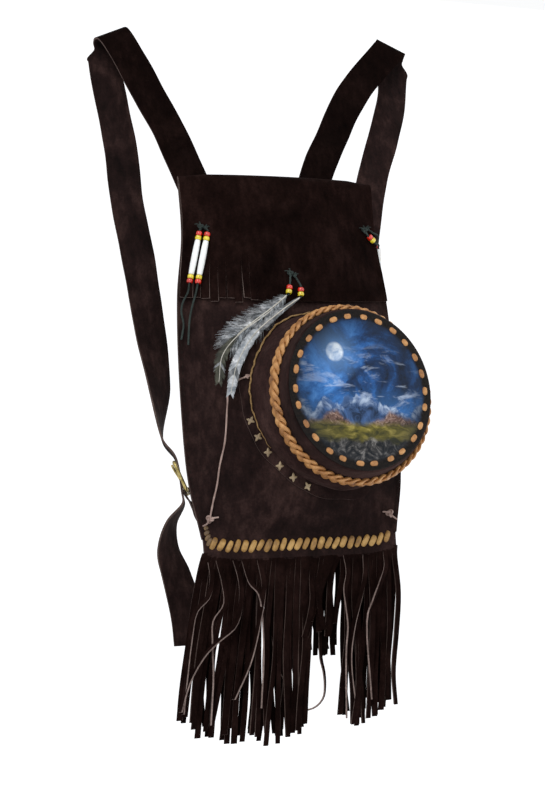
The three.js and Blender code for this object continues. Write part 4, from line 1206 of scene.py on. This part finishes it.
def crown(top, axis, lead):
    """A strap turns over its crown along a helix, so that the fold's top edge stays straight."""
    up = np.array([-axis[2], 0, axis[0]])
    centre = np.array(top) - CROWN_RADIUS * up
    return [
        centre
        + CROWN_RADIUS * (math.cos(t) * up + lead * t * np.array(axis) + math.sin(t) * np.array([0, 1, 0]))
        for t in np.radians([-90, -45, 0, 45, 90])
    ]


LEFT_CROWN_AXIS = (0.912, 0, 0.41)
RIGHT_CROWN_AXIS = (0.913, 0, -0.408)

SIDES = {
    "left": {
        "buckle": Buckle((-112, 27, -473), (-0.34, 0.1, 0.93), (0.3, 0.94, 0)),
        "route": [
            on_back(-72, -230, STRAP_LAY), on_back(-77, -205, STRAP_LAY), (-84, 9, -180), (-92, 17, -150),
            (-104, 28, -108), (-118, 37, -72), (-133, 45, -33),
            *crown((-152, 62, 6.2), LEFT_CROWN_AXIS, -0.13),
            (-154, 72, -16), (-155, 71, -34), (-151, 69, -69), (-145, 65, -121), (-143, 60, -177),
            (-136, 54, -239), (-130, 48, -310), (-125, 40, -380),
        ],
        "across": [
            (0.97, 0, 0.22), (0.96, 0, 0.25), (0.95, 0, 0.3), (0.93, 0, 0.36),
            (0.9, 0, 0.42), (0.88, 0, 0.45), (0.9, 0, 0.43), *[LEFT_CROWN_AXIS] * 5,
            (0.94, 0.02, 0.33), (0.97, 0.02, 0.24), (0.98, 0, 0.16), (1, 0, 0.12), (1, 0, 0.07),
            (1, 0.05, 0.1), (0.96, 0.2, 0.12), (0.75, 0.6, 0.1),
        ],
        "tail": [(-122, 34, -516), (-125, 40, -540), (-118, 43, -565), (-110, 42, -600), (-107, 40, -636)],
        "tail_across": [(0.5, 0.85, 0), (0.75, 0.65, 0), (0.92, 0.38, 0), (1, 0.1, 0), (1, 0, 0)],
    },
    "right": {
        "buckle": Buckle((90, 30, -473), (0.3, 0.1, 0.93), (0.9, 0.42, 0)),
        "route": [
            on_back(30, -230, STRAP_LAY), on_back(36, -205, STRAP_LAY), (44, 11, -178), (58, 21, -146),
            (81, 32, -106), (100, 39, -72), (121, 45, -42), (143, 50, -17),
            *crown((173.6, 62, 14.7), RIGHT_CROWN_AXIS, 0.26),
            (177, 72, -10), (176, 72, -27), (172, 70, -48), (158, 68, -90), (138, 64, -142),
            (120, 58, -210), (106, 50, -290), (98, 42, -370),
        ],
        "across": [
            (0.97, 0, -0.22), (0.96, 0, -0.25), (0.94, 0, -0.3), (0.9, 0, -0.42),
            (0.85, 0, -0.5), (0.83, 0, -0.52), (0.84, 0, -0.5), (0.88, 0, -0.45), *[RIGHT_CROWN_AXIS] * 5,
            (0.94, 0.03, -0.34), (0.96, 0.05, -0.29), (0.96, 0.05, -0.25), (0.97, 0, -0.22), (0.98, 0, -0.17),
            (1, 0, -0.1), (1, 0.1, -0.05), (0.95, 0.25, 0),
        ],
        "tail": [(86, 42, -516), (84, 48, -540), (80, 50, -565), (76, 48, -600), (74, 46, -636)],
        "tail_across": [(0.95, 0.3, 0), (0.98, 0.2, 0), (1, 0.1, 0), (1, 0, 0), (1, 0, 0)],
    },
}


def strap(name, side):
    buckle = side["buckle"]
    threaded = [
        buckle.place(0, 42, 1),
        buckle.place(0, BAR_MIDDLE + 8, STRAP_BEHIND),
        buckle.place(0, BAR_MIDDLE, STRAP_BEHIND),
        buckle.place(0, -BAR_MIDDLE, STRAP_OVER),
        buckle.place(0, -BAR_MIDDLE - 9, STRAP_OVER + 3),
    ]
    route = [*side["route"], *threaded, *side["tail"]]
    across = [*side["across"], *[buckle.across] * len(threaded), *side["tail_across"]]
    steps = len(route) * 9
    places, acrosses = through(route, steps), unit(through(across, steps))
    form = Form()
    ribbon(form, places, acrosses, STRAP_WIDTH, STRAP_THICKNESS, columns=10, seed=3, marks=(0, 1, 2))
    return form.piece(f"{name}_strap_suede", [BODY, EDGE, DARK], "bag", [f"{name}_strap"])


def buckle_frame(name, side):
    buckle = side["buckle"]
    stations = []
    for sign_a, sign_b, start in ((1, 1, 0), (-1, 1, 1), (-1, -1, 2), (1, -1, 3)):
        for k in range(7):
            angle = math.pi / 2 * (start + k / 6)
            stations.append(buckle.place(
                sign_a * (BUCKLE_HALF_WIDTH - BUCKLE_ROUND) + BUCKLE_ROUND * math.cos(angle),
                sign_b * (BAR_MIDDLE - BUCKLE_ROUND) + BUCKLE_ROUND * math.sin(angle),
                0,
            ))
    form = Form()
    form.tube(stations, BUCKLE_BAR / 2, sides=16, ring=True)
    return form.piece(f"{name}_buckle_ring", [BRASS], "bag", [f"{name}_buckle_frame"])


def buckle_prong(name, side):
    buckle = side["buckle"]
    form = Form()
    radius = BUCKLE_BAR / 2 + GAP + 0.7
    eye = [buckle.place(0, -BAR_MIDDLE + radius * math.cos(t), radius * math.sin(t))
           for t in circle(24)]
    sections = []
    for point in eye:
        ray = unit(point - buckle.place(0, -BAR_MIDDLE, 0))
        sections.append([
            point + buckle.across * a + ray * b
            for a, b in ((-2, -0.55), (2, -0.55), (2, 0.3), (1.4, 0.6), (-1.4, 0.6), (-2, 0.3))
        ])
    form.loft(sections, ring=True)
    tip = BUCKLE_BAR / 2 + GAP
    spine = through([
        buckle.place(0, -BAR_MIDDLE + radius, 0.2),
        buckle.place(0, -BAR_MIDDLE * 0.2, 0.6),
        buckle.place(0, BAR_MIDDLE - 4, tip + 0.5),
        buckle.place(0, BAR_MIDDLE + 0.6, tip + 0.9),
    ], 18)
    form.tube(spine, np.linspace(1.7, 0.95, len(spine)), sides=12)
    return form.piece(f"{name}_prong_pin", [BRASS], f"{name}_prong", [f"{name}_buckle_prong"])


BILLET_LAY = 5 * GAP + BILLET_THICKNESS + GAP / 2
CORNER_X = FOOT_WIDTH / 2 - CORNER_INSET
CORNERS = {
    "left": np.array(on_back(-CORNER_X, -518, BILLET_LAY)),
    "right": np.array(on_back(CORNER_X, -518, BILLET_LAY)),
}


def billet(name, side):
    """A short strap folded round the lower bar. Both plies keep to one middle line and open round the bar."""
    buckle, corner = side["buckle"], CORNERS[name]
    bar = buckle.place(0, -BAR_MIDDLE, 0)
    climb = bar - corner
    climb[1] = 0
    climb = unit(climb)
    corner_across = np.array([climb[2], 0, -climb[0]])
    waist = (corner + bar) / 2
    neck_way = unit(unit(waist - bar) - buckle.along) * BILLET_NECK
    low = corner * 0.8 + bar * 0.2
    low[1] = corner[1] * 0.92 + bar[1] * 0.08
    legs = [
        (corner - climb * BILLET_FOOT, corner_across, BILLET_END_WIDTH),
        (corner, corner_across, BILLET_END_WIDTH),
        (low, corner_across, BILLET_END_WIDTH),
        (waist, corner_across * 0.4 + buckle.across * 0.6, BILLET_WAIST),
        (bar + neck_way, buckle.across, BILLET_NECK_WIDTH),
        (bar, buckle.across, BILLET_WIDTH),
    ]
    steps = (len(legs) - 1) * 6
    places = through([at for at, _, _ in legs], steps)
    acrosses = unit(through([across for _, across, _ in legs], steps))
    widths = profile(np.linspace(0, 1, len(legs)), [w for _, _, w in legs])(np.linspace(0, 1, steps + 1))
    gone = np.linalg.norm(places - bar, axis=1)[:, None]
    away = unit(np.cross(unit(np.gradient(places, axis=0)), acrosses))
    near = np.maximum(0, 1 - gone / (2 * BILLET_NECK))
    away = unit(away * (1 - near) + buckle.out * near)
    start = BUCKLE_BAR / 2 + GAP
    open_by = GAP / 2 + (start - GAP / 2) * np.maximum(0, 1 - gone / BILLET_OPENING)
    turns = np.linspace(-math.pi / 2, math.pi / 2, 13)[:, None]
    round_away = buckle.along * np.cos(turns) + buckle.out * np.sin(turns)

    def both_plies(ply, fold):
        """The values of one ply, of the fold round the bar, and of the other ply on its way back."""
        return np.concatenate([ply[:-1], np.broadcast_to(fold, (len(turns), ply.shape[1])), ply[-2::-1]])

    aways = np.concatenate([-away[:-1], round_away, away[-2::-1]])
    reach = both_plies(widths[:, None], BILLET_WIDTH) / 2
    s = np.linspace(-1, 1, 9)
    near_face = (
        both_plies(places, bar)[:, None]
        + both_plies(acrosses, buckle.across)[:, None] * (s * reach)[..., None]
        + (aways * both_plies(open_by, start))[:, None]
    )
    form = Form()
    form.slab(near_face + aways[:, None] * BILLET_THICKNESS, near_face)
    return form.piece(f"{name}_billet_suede", [BODY, EDGE], "bag", [f"{name}_billet"])


for name, side in SIDES.items():
    strap(name, side)
    buckle_frame(name, side)
    buckle_prong(name, side)
    billet(name, side)

# Knots and the thong


def knot_path(centre, radius, tilt=0.0):
    t = circle(48)
    a = (np.sin(t) + 2 * np.sin(2 * t)) / 3 * radius
    b = (np.cos(t) - 2 * np.cos(2 * t)) / 3 * radius
    c = -np.sin(3 * t) / 3 * radius
    return np.stack([
        centre[0] + a * math.cos(tilt) - b * math.sin(tilt),
        centre[1] + c,
        centre[2] + a * math.sin(tilt) + b * math.cos(tilt),
    ], axis=-1)


def corner_knot(form, corner, sign):
    x, z = corner[0], corner[2]
    front = float(front_y(x, z))
    behind = corner[1] + BILLET_THICKNESS + 2 * GAP + 2.4
    form.tube([(x, front - 2, z), (x, behind, z)], THONG_RADIUS, sides=10)
    form.tube(knot_path((x, front - 2.6, z), CORNER_KNOT, 0.4 * sign), CORNER_KNOT_CORD, sides=10, ring=True)
    form.tube(knot_path((x, behind, z), BACK_KNOT, 1.2), BACK_KNOT_CORD, sides=10, ring=True)
    for end in ((-sign * 8.5, -1.4, 1.6), (sign * 7.5, 0.2, -6.5)):
        tail = through([
            (x, front - 2.8, z),
            (x + end[0] * 0.5, front - 4.2 + end[1] * 0.5, z + end[2] * 0.7),
            (x + end[0], front - 2.8 + end[1], z + end[2]),
        ], 10)
        form.tube(tail, np.linspace(1.05, 0.8, len(tail)), sides=8)


def thong():
    form = Form()
    pin = foot_place(np.array(math.pi * 0.935), POUCH_FLANGE * 0.5, 0.0)
    rest = THONG_RADIUS + 2 * GAP
    corner = CORNERS["left"]
    stations = [
        (pin[0], pin[2], FLANGE_LIFT), (-64, -385, FLANGE_LIFT), (-72, -391, 0.8), (-74.5, -408, 0.3),
        (-79, -444, 0.3), (-84, -466, 0.3), (-87.5, -486, 0.3), (-91.5, -502, 0.6), (corner[0], corner[2], 1),
    ]
    route = [(x, float(front_y(x, z)) - rest - lift, z) for x, z, lift in stations]
    path = through(route, 70)
    form.tube(path, THONG_SEEN_RADIUS * (1 + 0.1 * np.sin(np.arange(len(path)) * 1.1)), sides=10)
    form.tube(knot_path(route[0], 1.9), 0.85, sides=10, ring=True)
    corner_knot(form, corner, -1)
    return form.piece("thong_hide", [HIDE], "bag", ["thong"])


def right_knot():
    form = Form()
    corner_knot(form, CORNERS["right"], 1)
    return form.piece("right_corner_knot_hide", [HIDE], "bag", ["right_corner_knot"])


thong()
right_knot()

# Ties: beads and pipes on waxed lace


def on_flap(x, z, lift=TIE_LIFT):
    return np.array([x, float(flap_y(x, z)) - float(flap_wave(x, FOLD_Z - z)) - lift, z])


def bead_outline(length):
    turns = np.linspace(-math.pi, math.pi, 18, endpoint=False)
    middle = (BEAD_RADIUS + BEAD_BORE) / 2
    return [
        (middle + (BEAD_RADIUS - BEAD_BORE) / 2 * math.cos(t), length / 2 * (1 + math.sin(t))) for t in turns
    ]


def pipe_outline(length):
    outer = [(BEAD_RADIUS - 0.55 * abs(2 * s - 1) ** 3 - (0.25 if s in (0, 1) else 0), s * length)
             for s in (0, 0.012, 0.06, 0.15, 0.3, 0.5, 0.7, 0.85, 0.94, 0.988, 1)]
    return [*outer, (BEAD_BORE, length), (BEAD_BORE, 0)]


BEAD_LOOKS = {
    "top_red_bead": (RED, "red_bead"),
    "top_yellow_bead": (YELLOW, "yellow_bead"),
    "pipe": (BONE, "bone_pipe"),
    "low_yellow_bead": (YELLOW, "yellow_bead"),
    "low_red_bead": (RED, "red_bead"),
}
LONG_TIE = list(BEAD_LOOKS)


def tie_column(name, knot_x, knot_z, runs, tail=()):
    """A lace with its knot on the flap, its beads, and its loose end."""
    is_pinned = name.endswith("_a")
    radius = TIE_KNOT if is_pinned else SMALL_KNOT
    knot = on_flap(knot_x, knot_z, radius + GAP)
    route, beads = [knot], []
    for run in runs:
        top, bottom = np.array(run["top"], float), np.array(run["bottom"], float)
        along = unit(bottom - top)
        route += [np.array(v, float) for v in run.get("via", ())]
        route += [top - 1.6 * along, top, top + 4 * along, bottom, bottom + 1.6 * along]
        at = top.copy()
        for label in run["beads"]:
            length = PIPE_LENGTH if label == "pipe" else BEAD_LENGTH
            form = Form()
            form.lathe(pipe_outline(length) if label == "pipe" else bead_outline(length), at, along)
            look, slot = BEAD_LOOKS[label]
            node = f"{name}_{label}"
            beads.append(form.piece(f"{node}_turned", [look], "flap", [node]))
            at = at + along * (length + GAP)
    route += [np.array(t, float) for t in tail]
    path = through(route, 6 * len(route))
    form = Form()
    radii = TIE_RADIUS * (1 + 0.06 * np.sin(np.arange(len(path)) * 1.9))
    form.tube(path, radii, sides=10)
    made = form.piece(f"{name}_cord", [TIE], "flap", [f"{name}_lace"])
    form = Form()
    form.tube(knot_path(knot, radius * 0.95), 1.0 if is_pinned else 0.8, sides=10, ring=True)
    form.tube([knot, knot + [0, radius + GAP + LEATHER, 0]], TIE_RADIUS, sides=8)
    for turn in (0.5, 1.3):
        end = [radius * 2.6 * math.cos(turn) * (-1 if is_pinned else 1), -0.6, radius * 1.6 * math.sin(turn)]
        wisp = through([knot, knot + [end[0] * 0.6, -1.2, end[2]], knot + end], 8)
        form.tube(wisp, np.linspace(0.75, 0.35, len(wisp)), sides=6)
    knot_piece = form.piece(f"{name}_knot", [TIE], "flap", [f"{name}_lace"])
    return made, path, knot_piece, beads


def hanging_tie(name, knot, runs, tail):
    made, path, knot_piece, beads = tie_column(name, *knot, runs, tail)


hanging_tie("left_tie_a", (-88, -226), [
    {"top": on_flap(-89.6, -231.5), "bottom": on_flap(-102.6, -284), "beads": LONG_TIE},
], [(-104, -10, -292), (-110, -8, -304), (-111.4, -7, -312), (-109.6, -6, -325), (-112.8, -6, -340)])
hanging_tie("left_tie_b", (-83.2, -227.4), [
    {"top": on_flap(-82.2, -233), "bottom": on_flap(-95.2, -285), "beads": LONG_TIE},
], [(-97, -13, -294), (-101, -11, -307), (-104.5, -10, -322), (-107, -9, -346)])
hanging_tie("right_tie_a", (90, -224), [
    {"top": on_flap(94.2, -229.8), "bottom": on_flap(101.2, -235.6), "beads": LONG_TIE[:2]},
    {"via": [(107.4, -6, -237.4)], "top": (108.8, -1.4, -240), "bottom": (114.2, 21, -280),
     "beads": LONG_TIE[2:]},
], [(116, 24, -290), (117.5, 23.5, -306), (118, 22, -325), (117.5, 22, -342)])
hanging_tie("right_tie_b", (94.2, -221.2), [
    {"via": [(101, -8, -225), (107.6, -6, -227.5), (109.4, 0, -230)], "top": (110.2, 6.4, -234.4),
     "bottom": (116.5, 33, -281.5), "beads": LONG_TIE},
], [(117.4, 34, -288), (118.5, 33, -304), (119, 31, -322), (118.5, 31, -338)])
tie_column("centre_tie_a", -4, -278, [
    {"top": on_flap(-6.4, -291), "bottom": on_flap(-8.4, -299.6), "beads": LONG_TIE[:2]},
])
tie_column("centre_tie_b", 0.5, -279.9, [
    {"top": on_flap(5, -293.5), "bottom": on_flap(4.2, -302.2), "beads": LONG_TIE[:2]},
])

# Feathers: a quill with barbs set along both sides


def barb(form, root, direction, along, face, length, width, curl, mark):
    """One thin three-sided blade from the quill outwards."""
    points = []
    for t in (0, 0.3, 0.6, 0.85, 1):
        place = root + direction * length * t + along * length * 0.2 * t * t + face * curl * length * t * t
        thick = width * (1 - 0.75 * t ** 2) / 2
        points += [place + along * thick, place - along * thick, place + face * 0.14]
    faces = []
    for b in (0, 3, 6, 9):
        faces += [[b, b + 3, b + 5, b + 2], [b + 2, b + 5, b + 4, b + 1], [b + 1, b + 4, b + 3, b]]
    form.add(points, [*faces, [0, 2, 1], [12, 13, 14]], mark)


def feather(name, spine, half_widths, looks, seed, barbs, loose, width, shares, stands_for=()):
    """loose is how much the barbs stray, and shares how many take the second look, above and below."""
    draw = np.random.default_rng(seed)
    path = through(spine, barbs)
    along = unit(np.gradient(path, axis=0))
    side = unit(np.stack([-along[:, 2], 0 * along[:, 0], along[:, 0]], axis=-1))
    face = unit(np.cross(side, along))
    reach = profile(np.linspace(0, 1, len(half_widths)), half_widths)(np.linspace(0, 1, len(path)))
    form = Form()
    clump, clump_left, clump_mark = 0.0, 0, 0
    for k in range(2, len(path)):
        if clump_left == 0:
            clump = draw.uniform(-1, 1)
            clump_left = int(draw.integers(5, 14))
            clump_mark = int(draw.random() < shares[k > UPPER_PART * len(path)])
        clump_left -= 1
        for sign in (-1, 1):
            length = float(reach[k]) * (1 + loose * (0.22 * clump + draw.uniform(-0.28, 0.16)))
            if length < 1:
                continue
            lean = BARB_LEAN + loose * (0.22 * clump * sign + draw.uniform(-0.16, 0.3))
            direction = side[k] * sign * math.sin(lean) + along[k] * math.cos(lean)
            curl = loose * draw.uniform(-0.2, 0.16) + 0.04
            thick = width * draw.uniform(0.8, 1.2)
            barb(form, path[k], direction, along[k], face[k], length, thick, curl, clump_mark)
    form.tube(path, np.linspace(0.8, 0.3, len(path)), sides=8, mark=2)
    return form.piece(f"{name}_barbs", looks, "flap", stands_for, sharp=80)


feather(
    "wide_feather",
    [(-10, -35, -301), (-24, -34, -312), (-44, -32.5, -326), (-60, -31, -338), (-70, -29, -348)],
    [6, 12, 16.5, 16, 11], [GREY_VANE, PALE_VANE, QUILL], 3, 460, 1.25, 0.8, (0.35, 0.22),
    ["wide_feather"],
)
feather(
    "long_feather",
    [(3, -36.5, -303.5), (-20, -37, -319), (-48, -36.5, -342), (-66, -34, -370), (-74, -32, -399)],
    [2, 5, 7.5, 8.5, 5.5], [PALE_VANE, GREY_VANE, QUILL], 8, 300, 0.22, 1.5, (0.75, 0.2),
    ["long_feather"],
)
feather(
    "dark_feather",
    [(-11, -33.5, -303), (-32, -33, -320), (-61, -31, -340), (-79, -29, -361), (-84, -28, -387)],
    [0.5, 1.5, 4, 8.5, 5], [DARK_VANE, GREY_VANE, QUILL], 12, 260, 0.5, 1.4, (0.3, 0.08),
)

# Floor, lights and background, in metres

FLOOR_Z = -0.86
FLOOR_SIZE = 14
FLOOR_GLOW = 0.6
WORLD_LIGHT = 0.62
LIGHTS_AIM = Vector((0, 0, -0.4))
SWEEP = 3
PALE = (0.98, 0.985, 1.0)
SEEN_RAYS = ("Is Camera Ray", "Is Glossy Ray", "Is Transmission Ray")


def seen_share(tree):
    """One where a ray comes from the camera, a mirror or glass, and nought elsewhere."""
    path = tree.nodes.new("ShaderNodeLightPath")
    share = path.outputs[SEEN_RAYS[0]]
    for name in SEEN_RAYS[1:]:
        either = tree.nodes.new("ShaderNodeMath")
        either.operation = "MAXIMUM"
        tree.links.new(share, either.inputs[0])
        tree.links.new(path.outputs[name], either.inputs[1])
        share = either.outputs[0]
    return share


def make_floor():
    """A level floor that curves up into a backdrop behind the bag."""
    mesh = bpy.data.meshes.new("floor")
    half = FLOOR_SIZE / 2
    turns = np.linspace(0, math.pi / 2, 17)
    bend = [(half + SWEEP * math.sin(t), FLOOR_Z + SWEEP * (1 - math.cos(t))) for t in turns]
    rows = [(-half, FLOOR_Z), *bend, (half + SWEEP, FLOOR_Z + 2 * SWEEP)]
    mesh.from_pydata(
        [(x, y, z) for y, z in rows for x in (-FLOOR_SIZE, FLOOR_SIZE)], [],
        [(2 * k, 2 * k + 1, 2 * k + 3, 2 * k + 2) for k in range(len(rows) - 1)],
    )
    floor = placed("floor", mesh)
    n = Nodes("pale_floor")
    n.finish(n.ramp(n.noise(3, 2), [(0.3, (0.84, 0.84, 0.84)), (0.7, (0.87, 0.87, 0.87))]), 0.8)
    glow = n.node("ShaderNodeEmission", Color=(*PALE, 1))
    n.set(glow.inputs["Strength"], n.math("MULTIPLY", seen_share(n.tree), FLOOR_GLOW))
    both = n.tree.nodes.new("ShaderNodeAddShader")
    n.tree.links.new(n.shader.outputs[0], both.inputs[0])
    n.tree.links.new(glow.outputs[0], both.inputs[1])
    n.tree.links.new(both.outputs[0], n.tree.nodes["Material Output"].inputs["Surface"])
    mesh.materials.append(n.material)


def make_world():
    world = bpy.data.worlds.new("studio")
    world.use_nodes = True
    bpy.context.scene.world = world
    tree = world.node_tree
    background, seen = tree.nodes["Background"], tree.nodes.new("ShaderNodeBackground")
    looks = ((background, (0.97, 0.98, 1.0, 1), WORLD_LIGHT), (seen, (0.97, 0.975, 0.98, 1), 1.0))
    for node, colour, strength in looks:
        node.inputs["Color"].default_value = colour
        node.inputs["Strength"].default_value = strength
    mixed = tree.nodes.new("ShaderNodeMixShader")
    tree.links.new(seen_share(tree), mixed.inputs[0])
    tree.links.new(background.outputs[0], mixed.inputs[1])
    tree.links.new(seen.outputs[0], mixed.inputs[2])
    tree.links.new(mixed.outputs[0], tree.nodes["World Output"].inputs["Surface"])


def make_light(name, place, size, power):
    data = bpy.data.lights.new(name, "AREA")
    data.size = size
    data.energy = power
    light = placed(name, data)
    light.location = place
    light.rotation_euler = (LIGHTS_AIM - Vector(place)).to_track_quat("-Z", "Y").to_euler()


make_floor()
make_world()
make_light("key_light", (-1.3, -2.0, 1.0), 1.4, 34)
make_light("fill_light", (1.8, -1.6, 0.3), 1.8, 12)
make_light("back_light", (0.6, 2.0, 0.8), 1.6, 14)

bpy.context.scene.view_settings.view_transform = "Standard"
